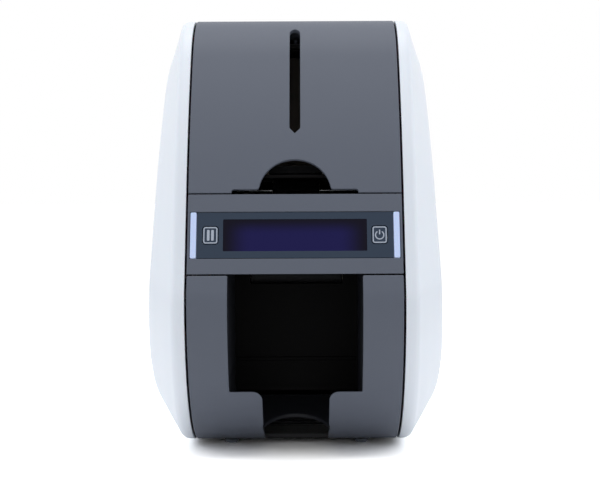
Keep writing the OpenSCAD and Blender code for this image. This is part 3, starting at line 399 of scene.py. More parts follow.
@dataclass
class SideOutline:
    """Outline of the grey band in the Y-Z plane, which every cover follows.

    A tangent angle of 0 runs up the front, 90 back along the top, 180 down the back and 270
    forward underneath. Distances along it start under the front.
    """

    height: float
    depth: float
    foot: float = 2.5
    front_r: float = 90.0
    brow_r: float = 25.0
    shoulder_r: float = 56.0
    corner_r: float = 50.0
    heel_r: float = 55.0
    console_tilt: float = 18.0
    brow_tilt: float = 32.0
    top_tilt: float = 84.0
    back_tilt: float = 165.0
    cover_z: float = 155.0
    console_z: float = 109.0
    seam: float = 0.8
    hinge_r: float = 6.0
    parts: list[Arc | Run] = field(init=False)

    def __post_init__(self) -> None:
        """Works the chain of arcs and straights out from the sizes."""
        front = -self.depth / 2
        front_c = (front + self.front_r, self.foot + self.front_r)
        brow_c = (front + self.brow_r, self.foot + self.front_r)
        brow_end = on_arc(brow_c, self.brow_r, self.console_tilt)
        lean = math.tan(math.radians(self.console_tilt))
        cover_start = (brow_end[0] + (self.cover_z - brow_end[1]) * lean, self.cover_z)
        heel_c = (self.depth / 2 - self.heel_r, self.foot + self.heel_r)
        heel_start = on_arc(heel_c, self.heel_r, self.back_tilt)
        end_tilt = 180 - self.top_tilt
        cover_r, top_r = self._radii(cover_start, heel_start, end_tilt)
        cover_c = self._behind(cover_start, cover_r, self.console_tilt)
        cover_end = on_arc(cover_c, cover_r, self.brow_tilt)
        shoulder_c = self._behind(cover_end, self.shoulder_r, self.brow_tilt)
        top_start = on_arc(shoulder_c, self.shoulder_r, self.top_tilt)
        top_c = self._behind(top_start, top_r, self.top_tilt)
        corner_c = self._behind(on_arc(top_c, top_r, end_tilt), self.corner_r, end_tilt)
        corner_end = on_arc(corner_c, self.corner_r, self.back_tilt)
        self.hopper_axis = on_arc(top_c, top_r - self.hinge_r, self.top_tilt + 0.5)
        self.heel_start = heel_start
        foot_z = self.console_z + self.seam / 2
        self.console_start = (brow_end[0] + (foot_z - brow_end[1]) * lean, foot_z)
        self.parts = [
            Arc(front_c, self.front_r, -90, 0),
            Arc(brow_c, self.brow_r, 0, self.console_tilt),
            Run(brow_end, cover_start, self.console_tilt),
            Arc(cover_c, cover_r, self.console_tilt, self.brow_tilt),
            Arc(shoulder_c, self.shoulder_r, self.brow_tilt, self.top_tilt),
            Arc(top_c, top_r, self.top_tilt, end_tilt),
            Arc(corner_c, self.corner_r, end_tilt, self.back_tilt),
            Run(corner_end, heel_start, self.back_tilt),
            Arc(heel_c, self.heel_r, self.back_tilt, 270),
            Run((heel_c[0], self.foot), (front_c[0], self.foot), 270),
        ]

    @staticmethod
    def _behind(point: Point2, radius: float, tangent: float) -> Point2:
        """Returns the centre of an arc that passes a point with this tangent."""
        turn = math.radians(tangent)
        return point[0] + radius * math.cos(turn), point[1] - radius * math.sin(turn)

    def _radii(self, cover_start: Point2, heel_start: Point2, end_tilt: float) -> tuple[float, float]:
        """Returns the radii of the hopper cover and the top that close the chain."""
        console, brow, top, back = (
            math.radians(a) for a in (self.console_tilt, self.brow_tilt, self.top_tilt, self.back_tilt))
        rise = math.sin(brow) - math.sin(console)
        run = (math.cos(console) - math.cos(brow)) / rise
        climb = self.height - self.cover_z - self.shoulder_r * (math.sin(top) - math.sin(brow))
        fore = cover_start[0] + climb * run + self.shoulder_r * (math.cos(brow) - math.cos(top))
        end = math.radians(end_tilt)
        corner_dy = self.corner_r * (math.cos(end) - math.cos(back))
        corner_dz = self.corner_r * (math.sin(end) - math.sin(back))
        lean = math.tan(math.pi - back)
        aft = heel_start[0] - corner_dy - (self.height - corner_dz - heel_start[1]) * lean
        half_slope = math.tan((math.pi / 2 - top) / 2) / 2
        crown = half_slope * (aft - fore) / (1 - half_slope * (run + lean))
        shoulder_y = fore - crown * run
        return (climb - crown) / rise, (aft + crown * lean - shoulder_y) / (2 * math.cos(top))

    def arcs(self) -> list[tuple[Arc, int]]:
        """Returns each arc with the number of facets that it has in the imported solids."""
        return list(zip([part for part in self.parts if isinstance(part, Arc)], PACKED_FACETS))

    @property
    def length(self) -> float:
        """Length of the whole outline."""
        return sum(part.length for part in self.parts)

    def at(self, along: float, depth: float = 0.0) -> Point2:
        """Returns the (y, z) point at a distance along the outline, moved inward by a depth."""
        along %= self.length
        for part in self.parts:
            if along <= part.length:
                return part.at(along / part.length, depth)
            along -= part.length
        return self.parts[-1].at(1.0, depth)

    def points(self, fine: int) -> Loop:
        """Returns the outline as points, with each packed facet split into this many."""
        run = []
        for arc, facets in self.arcs():
            run += [arc.at(i / (facets * fine), 0.0) for i in range(facets * fine + 1)]
        return [p for p, q in zip(run, run[1:] + run[:1]) if math.dist(p, q) > 1e-6]

    def depth_of(self, point: Point2) -> float:
        """Returns how far inside the outline a (y, z) point lies."""
        near = []
        for part in self.parts:
            if isinstance(part, Run):
                near.append(part.depth_of(point))
            elif part.faces(point):
                near.append(part.radius - math.dist(point, part.centre))
        return min(near)

    def start_of(self, index: int) -> float:
        """Returns the distance along at which a numbered part starts."""
        return sum(part.length for part in self.parts[:index])

    def along_at(self, axis: int, value: float, low: float, high: float) -> float:
        """Finds where y (axis 0) or z (axis 1) reaches a value between two distances."""
        rising = self.at(high)[axis] > self.at(low)[axis]
        for _ in range(40):
            middle = (low + high) / 2
            if (self.at(middle)[axis] < value) == rising:
                low = middle
            else:
                high = middle
        return low


# ---------------------------------------------------------------- meshes

# Faces that meet at less than this are shaded as one smooth surface
SMOOTH_TO = math.radians(34)
# Points that are closer than this are in the same place, in millimetres
SAME_PLACE = 0.001


def arc_points(centre: Point2, radius: float, start: float, end: float, steps: int) -> Loop:
    """Returns points on an arc, both ends included; the angles are in degrees."""
    angles = [math.radians(start + (end - start) * i / steps) for i in range(steps + 1)]
    return [(centre[0] + radius * math.cos(a), centre[1] + radius * math.sin(a)) for a in angles]


def rounded_rect(x: Point2, y: Point2, radius: float, steps: int = 5) -> Loop:
    """Returns a rectangle with round corners, anticlockwise from its lower right."""
    corners = [(x[1] - radius, y[0] + radius, -90), (x[1] - radius, y[1] - radius, 0),
               (x[0] + radius, y[1] - radius, 90), (x[0] + radius, y[0] + radius, 180)]
    return [p for cx, cy, a in corners for p in arc_points((cx, cy), radius, a, a + 90, steps)]


def fill(bm: BMesh, loops: Sequence[Loop]) -> list[BMFace]:
    """Fills a flat drawing in the X-Y plane of a mesh.

    Args:
        bm: the mesh that gets the faces.
        loops: the outside first, then the holes.

    Returns:
        The new faces.
    """
    edges = []
    for loop in loops:
        verts = [bm.verts.new((x, y, 0)) for x, y in loop]
        edges += [bm.edges.new(pair) for pair in zip(verts, verts[1:] + verts[:1])]
    made = bmesh.ops.triangle_fill(bm, use_beauty=True, use_dissolve=False, edges=edges)
    return [g for g in made["geom"] if isinstance(g, BMFace)]


def thicken(bm: BMesh, faces: list[BMFace], depth: float) -> None:
    """Turns flat faces at height 0 into a closed solid that reaches to a depth."""
    grown = bmesh.ops.extrude_face_region(bm, geom=faces)["geom"]
    moving = [g for g in grown if isinstance(g, BMVert)]
    bmesh.ops.translate(bm, verts=moving, vec=(0, 0, depth))


def round_off(bm: BMesh, edge: float) -> None:
    """Rounds every sharp edge of a mesh in two steps."""
    sharp = [e for e in bm.edges if e.is_manifold and e.calc_face_angle() > SMOOTH_TO]
    bmesh.ops.bevel(bm, geom=sharp, offset=edge, offset_type="OFFSET", segments=2, profile=0.5,
                    affect="EDGES", clamp_overlap=False)


def flat_plate(loops: Sequence[Loop], depth: float, edge: float = 0.0) -> BMesh:
    """Returns a plate in millimetres whose drawing lies in the X-Y plane.

    Args:
        loops: the drawing; the outside first, then the holes.
        depth: its thickness along the third axis.
        edge: radius of its rounded edges.
    """
    flat = bmesh.new()
    thicken(flat, fill(flat, loops), depth)
    bmesh.ops.recalc_face_normals(flat, faces=flat.faces)
    bmesh.ops.dissolve_limit(flat, angle_limit=0.005, verts=flat.verts, edges=flat.edges)
    if edge:
        round_off(flat, edge)
    return flat


def add_plate(bm: BMesh, loops: Sequence[Loop], depth: float, place: Matrix, edge: float = 0.0) -> None:
    """Adds a flat plate to a mesh at a place that turns millimetres into metres; see flat_plate."""
    merge_into(bm, flat_plate(loops, depth, edge), place)


def merge_into(bm: BMesh, part: BMesh, place: Matrix) -> None:
    """Moves a part to its place and adds it to a mesh, facing outwards."""
    bmesh.ops.transform(part, matrix=place, verts=part.verts)
    bmesh.ops.recalc_face_normals(part, faces=part.faces)
    passing = bpy.data.meshes.new("passing")
    part.to_mesh(passing)
    part.free()
    bm.from_mesh(passing)
    bpy.data.meshes.remove(passing)


def add_turned(bm: BMesh, section: Loop, place: Matrix, sides: int = 48, material: int = 0) -> None:
    """Adds a turned solid about the third axis.

    Args:
        bm: the mesh.
        section: (radius, height) points in millimetres, from one pole or rim to the other.
        place: where the solid goes; it turns millimetres into metres.
        sides: number of faces round it.
        material: index of its material.
    """
    part = bmesh.new()
    rings = []
    for radius, height in section:
        if radius < 1e-6:
            rings.append([part.verts.new((0, 0, height))])
        else:
            rings.append([part.verts.new((radius * math.cos(a), radius * math.sin(a), height))
                          for a in (math.tau * i / sides for i in range(sides))])
    closed = len(rings[0]) > 1 and len(rings[-1]) > 1
    pairs = list(zip(rings, rings[1:])) + ([(rings[-1], rings[0])] if closed else [])
    for low, high in pairs:
        for i in range(sides):
            j = (i + 1) % sides
            corners = [low[i % len(low)], low[j % len(low)], high[j % len(high)], high[i % len(high)]]
            part.faces.new(list(dict.fromkeys(corners))).material_index = material
    merge_into(bm, part, place)


def drum(radius: float, low: float, high: float, edge: float = 0.25) -> Loop:
    """Returns the section of a cylinder with chamfered rims."""
    return [(0, low), (radius - edge, low), (radius, low + edge),
            (radius, high - edge), (radius - edge, high), (0, high)]


MILLI = Matrix.Scale(MM, 4)
# Stands a drawing of (y, z) points in the frame's Y-Z plane, with its depth along X
ON_SIDE = MILLI @ Matrix(((0, 0, 1, 0), (1, 0, 0, 0), (0, 1, 0, 0), (0, 0, 0, 1)))


def along_x(place: Point2) -> Matrix:
    """Returns what lays a turned solid along X at a (y, z) place; it turns millimetres into metres."""
    return MILLI @ Matrix.Translation((0, *place)) @ Matrix.Rotation(math.pi / 2, 4, "Y")


def on_side(side: float, near: float, far: float) -> Point2:
    """Returns the stretch of X between two distances from the middle, on one side of it."""
    low, high = sorted((side * near, side * far))
    return low, high


def add_slab(bm: BMesh, loops: Sequence[Loop], x: Point2) -> None:
    """Adds a slab whose drawing lies in the Y-Z plane, from x[0] to x[1]."""
    add_plate(bm, loops, x[1] - x[0], Matrix.Translation((x[0] * MM, 0, 0)) @ ON_SIDE)


def as_piece(name: str, bm: BMesh, *finishes: Finish) -> Object:
    """Turns a finished mesh into a piece of the scene.

    Args:
        name: the piece's name.
        bm: its mesh, which is freed.
        finishes: its finishes, in the order of its material indices.

    Returns:
        The new object, at the origin.
    """
    mesh = bpy.data.meshes.new(name)
    bm.to_mesh(mesh)
    bm.free()
    for finish in finishes:
        mesh.materials.append(finish.material())
    mesh.polygons.foreach_set("use_smooth", [True] * len(mesh.polygons))
    mesh.set_sharp_from_angle(angle=SMOOTH_TO)
    piece = bpy.data.objects.new(name, mesh)
    bpy.context.scene.collection.objects.link(piece)
    weighted = piece.modifiers.new("even flats", "WEIGHTED_NORMAL")
    weighted.keep_sharp = True
    return piece


def bent_panel(outline: SideOutline, loops: Sequence[Loop], wall: float, edge: float,
               step: float = 2.0) -> BMesh:
    """Bends a flat drawing of (x, distance along) points round the outline.

    Args:
        outline: the outline that it follows.
        loops: the outside first, then the holes.
        wall: thickness inward.
        edge: radius of its rounded edges.
        step: length of one face along the bend.

    Returns:
        The closed panel, in metres.
    """
    bm = flat_plate(loops, wall, edge)
    low, high = min(y for _, y in loops[0]), max(y for _, y in loops[0])
    count = max(1, round((high - low) / step))
    for i in range(1, count):
        bmesh.ops.bisect_plane(bm, geom=bm.verts[:] + bm.edges[:] + bm.faces[:], dist=1e-5,
                               plane_co=(0, low + (high - low) * i / count, 0), plane_no=(0, 1, 0))
    for vert in bm.verts:
        x, along, depth = vert.co
        vert.co = (x * MM, *(c * MM for c in outline.at(along, depth)))
    bmesh.ops.recalc_face_normals(bm, faces=bm.faces)
    return bm


def true_curves(bm: BMesh, outline: SideOutline, reach: float = 13.0, step: float = 3.0) -> None:
    """Turns the flat facets of a packed cover into the arcs that they stand for.

    Args:
        bm: a mesh in metres whose facets have their corners on the outline's arcs.
        outline: the outline.
        reach: how deep under the outline the mesh is changed.
        step: longest face left along an arc.
    """
    for arc, facets in outline.arcs():
        half = (arc.end - arc.start) / facets / 2
        centre = Vector((0, *arc.centre)) * MM
        for k in range(facets):
            middle = arc.start + (2 * k + 1) * half
            cuts = math.ceil(arc.length / facets / step)

            def stretch(turn: float) -> float:
                """Returns how much further out the arc lies than the facet, at an angle."""
                return math.cos(math.radians(turn)) / math.cos(math.radians(half))

            def turn_of(point: Vector) -> float | None:
                """Returns the point's angle from the facet's middle, or None if it lies elsewhere."""
                y, z = (point.yz - centre.yz) / MM
                turn = (math.degrees(math.atan2(z, -y)) - middle + 180) % 360 - 180
                deep = arc.radius - math.hypot(y, z) * stretch(turn)
                return turn if abs(turn) < half + 1e-3 and -0.5 < deep < reach else None

            for i in range(1, cuts):
                turn = math.radians(middle - half + 2 * half * i / cuts)
                near = [f for f in bm.faces if any(turn_of(v.co) is not None for v in f.verts)]
                geom = list({g for f in near for g in (f, *f.edges, *f.verts)})
                bmesh.ops.bisect_plane(bm, geom=geom, dist=1e-7, plane_co=centre,
                                       plane_no=(0, math.sin(turn), math.cos(turn)))
            for vert in bm.verts:
                turn = turn_of(vert.co)
                if turn is not None:
                    vert.co.yz = centre.yz + (vert.co.yz - centre.yz) * stretch(turn)


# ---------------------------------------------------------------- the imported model

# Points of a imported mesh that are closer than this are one, in millimetres
WELD = 0.004
# Faces that meet at less than this are one flat face
FLAT_TO = math.radians(0.6)
# How far past a rounded edge the painted shade inside starts, in millimetres
PAST_EDGE = 0.1


@dataclass
class Bench:
    """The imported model, and where each of its nodes belongs.

    Attributes:
        outline: the side outline that the covers follow.
    """

    frame: dict
    outline: SideOutline

    def __post_init__(self) -> None:
        """Reads each node's body and slot from the record."""
        record = self.frame["record"]
        self.body = {n: b for b, nodes in record["behaviour"]["bodies"].items() for n in nodes}
        self.slot = {part["node"]: part["material_slot"] for part in record["subparts"]}

    def box(self, node: str) -> tuple[Vector, Vector]:
        """Returns a node's lowest and highest corner, in millimetres."""
        low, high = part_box(node)
        return low / MM, high / MM

    def stand_in(self, piece: Object, node: str) -> Object:
        """Lets a piece take the place of a node, on its body."""
        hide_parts(node)
        return self.join(piece, node)

    def join(self, piece: Object, node: str) -> Object:
        """Lets a piece ride with a node, on that node's body."""
        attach(piece, self.body[node])
        log.info("%s rides on %s, %d faces", piece.name, self.body[node], len(piece.data.polygons))
        return piece

    def dress(self, node: str, finish: Finish) -> None:
        """Gives a node that keeps its own shape a finish."""
        mesh = self.frame["nodes"][node].data
        mesh.materials.clear()
        mesh.materials.append(finish.material())
        log.info("%s keeps its packed mesh", node)

    def softened(self, node: str, finish: Finish, width: float, curved: bool = False,
                 lining: Finish | None = None, tuck: float = 0.0) -> Object:
        """Stands an edge-rounded copy in for a node.

        Args:
            node: the node.
            finish: its finish.
            width: width of the rounded edges, in millimetres.
            curved: whether its facets along the side outline become true curves.
            lining: the finish that paints shade on what lies deeper than the rounded edges, if it
                differs.
            tuck: how far its sides are drawn in, so that the seams beside it show as dark lines.

        Returns:
            The new piece.
        """
        bm = bmesh.new()
        bm.from_mesh(self.frame["nodes"][node].data)
        bmesh.ops.remove_doubles(bm, verts=bm.verts, dist=WELD * MM)
        bmesh.ops.dissolve_limit(bm, angle_limit=FLAT_TO, verts=bm.verts, edges=bm.edges)
        round_off(bm, width * MM)
        if curved:
            true_curves(bm, self.outline)
        if tuck:
            side = max(v.co.x for v in bm.verts) - 2 * width * MM
            for vert in bm.verts:
                if abs(vert.co.x) > side:
                    vert.co.x -= math.copysign(tuck * MM, vert.co.x)
        finishes = [finish]
        if lining:
            finishes.append(lining)
            # Faces deeper than the rounded edges take the second finish, painted shade in a recess and on
            # the sides along the seams
            for face in bm.faces:
                y, z = face.calc_center_median().yz / MM
                face.material_index = int(self.outline.depth_of((y, z)) > width + PAST_EDGE)
        return self.stand_in(as_piece(f"{node}_finished", bm, *finishes), node)


# ---------------------------------------------------------------- Geometry Nodes


@dataclass
class Recipe:
    """A Geometry Nodes tree with named inputs, which is run once for each mesh that it makes.

    Attributes:
        name: the tree's name.
    """

    name: str

    def __post_init__(self) -> None:
        """Starts the tree with its output and its named inputs' node."""
        self.tree = bpy.data.node_groups.new(self.name, "GeometryNodeTree")
        self.tree.interface.new_socket(
            name="Geometry", in_out="OUTPUT", socket_type="NodeSocketGeometry")
        self.source = add_node(self.tree, "NodeGroupInput")

    def ask(self, name: str, kind: str) -> NodeSocket:
        """Adds a named input, such as a "Float" or an "Object", and returns its socket."""
        self.tree.interface.new_socket(name=name, in_out="INPUT", socket_type=f"NodeSocket{kind}")
        return self.source.outputs[name]

    def add(self, kind: str, inputs: dict | None = None, **settings) -> Node:
        """Adds a node to the tree; see add_node."""
        return add_node(self.tree, kind, inputs, **settings)

    def maths(self, operation: str, *values: float | NodeSocket) -> NodeSocket:
        """Adds one sum to the tree; see maths."""
        return maths(self.tree, operation, *values)

    def deliver(self, geometry: NodeSocket) -> None:
        """Ends the tree: makes its copies real and gives them the material that it asks for."""
        real = self.add("GeometryNodeRealizeInstances", {"Geometry": geometry})
        dressed = self.add("GeometryNodeSetMaterial", {
            "Geometry": real.outputs[0], "Material": self.ask("Material", "Material")})
        self.add("NodeGroupOutput", {0: dressed.outputs[0]})

    def run(self, name: str, finish: Finish, **values: object) -> Object:
        """Runs the tree and returns what it makes as a piece with a plain mesh.

        Args:
            name: the piece's name.
            finish: its finish.
            values: a value for each named input, with _ for a space.

        Returns:
            The new piece, whose faces point outwards.
        """
        piece = bpy.data.objects.new(name, bpy.data.meshes.new(name))
        bpy.context.scene.collection.objects.link(piece)
        modifier = piece.modifiers.new(self.name, "NODES")
        modifier.node_group = self.tree
        given = {"Material": finish.material()} | {k.replace("_", " "): v for k, v in values.items()}
        for item in self.tree.interface.items_tree:
            if item.in_out == "INPUT":
                modifier[item.identifier] = given[item.name]
        graph = bpy.context.evaluated_depsgraph_get()
        made = bpy.data.meshes.new_from_object(piece.evaluated_get(graph), depsgraph=graph)
        piece.modifiers.clear()
        piece.data = made
        bm = bmesh.new()
        bm.from_mesh(made)
        bmesh.ops.recalc_face_normals(bm, faces=bm.faces)
        bm.to_mesh(made)
        bm.free()
        made.polygons.foreach_set("use_smooth", [True] * len(made.polygons))
        made.set_sharp_from_angle(angle=SMOOTH_TO)
        return piece


def helper(name: str, points: Sequence[Sequence[float]],
           axes: Sequence[Sequence[float]] = ()) -> Object:
    """Makes an object of loose points for a tree to read.

    Args:
        name: its name.
        points: the points, in metres.
        axes: a direction for each point, kept in the attribute "axis".

    Returns:
        The object, which isn't in the scene.
    """
    mesh = bpy.data.meshes.new(name)
    mesh.from_pydata([tuple(p) for p in points], [], [])
    if axes:
        kept = mesh.attributes.new("axis", "FLOAT_VECTOR", "POINT")
        kept.data.foreach_set("vector", [c for axis in axes for c in axis])
    return bpy.data.objects.new(name, mesh)


def copies_recipe() -> Recipe:
    """Returns the tree that sets a copy of a thing on each place, turned along the place's axis."""
    recipe = Recipe("copies on places")
    thing, places = (recipe.ask(name, "Object") for name in ("Thing", "Places"))
    shape = recipe.add("GeometryNodeObjectInfo", {"Object": thing}).outputs["Geometry"]
    points = recipe.add("GeometryNodeObjectInfo", {"Object": places}).outputs["Geometry"]
    axis = recipe.add("GeometryNodeInputNamedAttribute", {"Name": "axis"}, data_type="FLOAT_VECTOR")
    turn = recipe.add(
        "FunctionNodeAlignRotationToVector", {"Vector": axis.outputs["Attribute"]}, axis="Z")
    copies = recipe.add("GeometryNodeInstanceOnPoints", {
        "Points": points, "Instance": shape, "Rotation": turn.outputs["Rotation"]})
    recipe.deliver(copies.outputs["Instances"])
    return recipe


# ---------------------------------------------------------------- side shells

# Where the three posts lie that a shell is screwed to the frame by, as (y, z)
SHELL_POSTS = ((-115, 95), (122, 88), (0, 205))


@dataclass
class SideShells:
    """The two white shells, each a section swept round the side outline.

    The section gives an X and how far the outline has shrunk toward its middle. What lies
    outside the crease fades toward the top.

    Attributes:
        bench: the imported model.
        rim_x: X of the inner rim.
        crease_x: X at which the bulge starts.
        half_w: X of the bulge's outermost point.
        wall: thickness of a shell.
        fade_z: height at which the bulge starts to fade.
        fade_h: height over which it loses fade_share of itself.
        fade_share: how much of the bulge that is.
        fade_power: how late in the height most of it is lost; 1 is evenly.
        post_r: radius of a screw post.
        bore_r: radius of its bore.
        bore_deep: depth of its bore.
        plate_x: X at which the posts end.
    """

    bench: Bench
    rim_x: float = 62.5
    crease_x: float = 70.0
    half_w: float = 88.85
    wall: float = 2.5
    fade_z: float = 60.0
    fade_h: float = 155.0
    fade_share: float = 0.385
    fade_power: float = 1.125
    post_r: float = 4.5
    bore_r: float = 1.55
    bore_deep: float = 9.0
    plate_x: float = 57.7

    def __post_init__(self) -> None:
        """Takes the middle and the half sizes from the outline."""
        line = self.bench.outline
        self.half_d = line.depth / 2
        self.half_h = (line.height - line.foot) / 2
        self.mid_z = (line.height + line.foot) / 2

    def section(self) -> list[Vector]:
        """Returns (x, depth share, height share) points, from the outer pole round the rim inward."""
        b, c, w, rim = self.half_w - self.crease_x, self.crease_x, self.wall, self.rim_x
        outside = [(110, c + b), (85, c + b), (64, c + b), (52, c + 0.985 * b), (42, c + 0.955 * b),
                   (30, c + 0.9 * b), (15, c + 0.47 * b), (4, c + 1.6)]
        edge = [(2.6, c + 0.75), (1.9, c + 0.2), (1.5, c - 0.35), (1.0, c - 1.1), (0.5, rim + 5.5),
                (0.2, rim + 4.2), (0.0, rim + 3), (0.0, rim + 0.5), (0.15, rim + 0.15),
                (0.5, rim), (w - 0.3, rim), (w, rim + 0.3)]
        inside = [(w, rim + 4.5), (6, c + 0.3), (16, c + 0.34 * b - 0.4 * w), (32, c + 0.86 * b - w),
                  (50, c + 0.97 * b - w), (64, c + b - w), (85, c + b - w), (110, c + b - w)]
        rows = [*smooth_through(outside, 6), *edge, *smooth_through(inside, 4)]
        shares = [Vector((x * MM, 1 - d / self.half_d, 1 - d / self.half_h)) for d, x in rows]

        def flat(x: float, end: Vector, share: float) -> Vector:
            """Returns a point on the flat middle, at a share of the way out to the run's end."""
            return Vector((x * MM, share * end.y, share * end.z))

        outer = [flat(self.half_w, shares[0], share) for share in (0.0, 0.5)]
        inner = [flat(self.half_w - w, shares[-1], share) for share in (0.5, 0.0)]
        return [*outer, *shares, *inner]

    def recipe(self) -> Recipe:
        """Returns the tree of a grid with columns round the outline and rows along the section."""
        made = Recipe("shell swept round the outline")
        outline, section = (made.ask(name, "Object") for name in ("Outline", "Section"))
        columns, rows = (made.ask(name, "Int") for name in ("Columns", "Rows"))
        middle, crease, side = (made.ask(name, "Float") for name in ("Middle", "Crease", "Side"))
        grid = made.add("GeometryNodeMeshGrid", {"Vertices X": columns, "Vertices Y": rows})
        index = made.add("GeometryNodeInputIndex").outputs[0]
        column = made.maths("FLOOR", made.maths("DIVIDE", index, rows))
        place = made.add("GeometryNodeInputPosition").outputs[0]

        def read(thing: NodeSocket, which: NodeSocket) -> Node:
            """Reads the numbered point of an object and splits it."""
            shape = made.add("GeometryNodeObjectInfo", {"Object": thing}).outputs["Geometry"]
            point = made.add("GeometryNodeSampleIndex", {
                "Geometry": shape, "Value": place, "Index": which}, data_type="FLOAT_VECTOR")
            return made.add("ShaderNodeSeparateXYZ", {0: point.outputs[0]})

        on_outline = read(outline, column)
        on_section = read(section, made.maths("MODULO", index, rows))
        y = made.maths("MULTIPLY", on_outline.outputs["Y"], on_section.outputs["Y"])
        rise = made.maths("SUBTRACT", on_outline.outputs["Z"], middle)
        z = made.maths("MULTIPLY_ADD", rise, on_section.outputs["Z"], middle)
        over = made.maths("MAXIMUM", made.maths("SUBTRACT", z, self.fade_z * MM), 0.0)
        high = made.maths("POWER", made.maths("DIVIDE", over, self.fade_h * MM), self.fade_power)
        fade = made.maths("SUBTRACT", 1.0, made.maths("MULTIPLY", high, self.fade_share))
        out = made.maths("MAXIMUM", made.maths("SUBTRACT", on_section.outputs["X"], crease), 0.0)
        near = made.maths("MINIMUM", on_section.outputs["X"], crease)
        x = made.maths("MULTIPLY_ADD", out, fade, near)
        spot = made.add("ShaderNodeCombineXYZ", {0: made.maths("MULTIPLY", x, side), 1: y, 2: z})
        moved = made.add("GeometryNodeSetPosition", {
            "Geometry": grid.outputs["Mesh"], "Position": spot.outputs[0]})
        merged = made.add("GeometryNodeMergeByDistance", {
            "Geometry": moved.outputs[0], "Distance": SAME_PLACE * MM})
        made.deliver(merged.outputs[0])
        return made

    def fade(self, z: float) -> float:
        """Returns the share of the bulge that is left at a height."""
        return 1 - self.fade_share * (max(0.0, z - self.fade_z) / self.fade_h) ** self.fade_power

    def build(self) -> None:
        """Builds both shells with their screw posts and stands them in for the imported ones."""
        points = self.bench.outline.points(4)
        points.append(points[0])
        outline = helper("shell outline", [(0, y * MM, z * MM) for y, z in points])
        spots = self.section()
        section = helper("shell section", spots)
        recipe = self.recipe()
        for name, side in (("left", -1.0), ("right", 1.0)):
            shell = recipe.run(
                f"side_shell_{name}_swept", WHITE_SHELL, Outline=outline, Section=section,
                Columns=len(points), Rows=len(spots), Middle=self.mid_z * MM,
                Crease=self.crease_x * MM, Side=side)
            bm = bmesh.new()
            bm.from_mesh(shell.data)
            for place in SHELL_POSTS:
                self._add_post(bm, place, side)
            bm.to_mesh(shell.data)
            bm.free()
            self.bench.stand_in(shell, f"side_shell_{name}")

    def _add_post(self, bm: BMesh, place: Point2, side: float) -> None:
        """Adds a hollow screw post that reaches from the frame plate into the shell's wall."""
        b, r, low = self.half_w - self.crease_x, self.post_r, self.plate_x
        reach = self.crease_x + (b - self.wall / 2) * self.fade(place[1] + r)
        tip = low + self.bore_deep
        section = [(0, reach), (r, reach), (r, low + 0.3), (r - 0.3, low),
                   (self.bore_r, low), (self.bore_r, tip), (0, tip)]
        add_turned(bm, [(radius, side * x) for radius, x in section], along_x(place), 32)


def smooth_through(points: Sequence[Point2], steps: int) -> Loop:
    """Returns a smooth run of points through the given ones, which don't overshoot."""
    def slope(i: int) -> float:
        """Returns the slope at a point: a harmonic mean of those beside it, or 0 at a turn."""
        if i in (0, len(points) - 1):
            j = min(i, len(points) - 2)
            return (points[j + 1][1] - points[j][1]) / (points[j + 1][0] - points[j][0])
        (x0, y0), (x1, y1), (x2, y2) = points[i - 1 : i + 2]
        before, after = (y1 - y0) / (x1 - x0), (y2 - y1) / (x2 - x1)
        return 0.0 if before * after <= 0 else 2 * before * after / (before + after)

    run = []
    for i in range(len(points) - 1):
        (x0, y0), (x1, y1) = points[i], points[i + 1]
        for k in range(steps):
            t = k / steps
            run.append((x0 + (x1 - x0) * t,
                        y0 * (1 + 2 * t) * (1 - t) ** 2 + y1 * t * t * (3 - 2 * t)
                        + (x1 - x0) * (slope(i) * t * (1 - t) ** 2 + slope(i + 1) * t * t * (t - 1))))
    return [*run, tuple(points[-1])]


# ---------------------------------------------------------------- covers


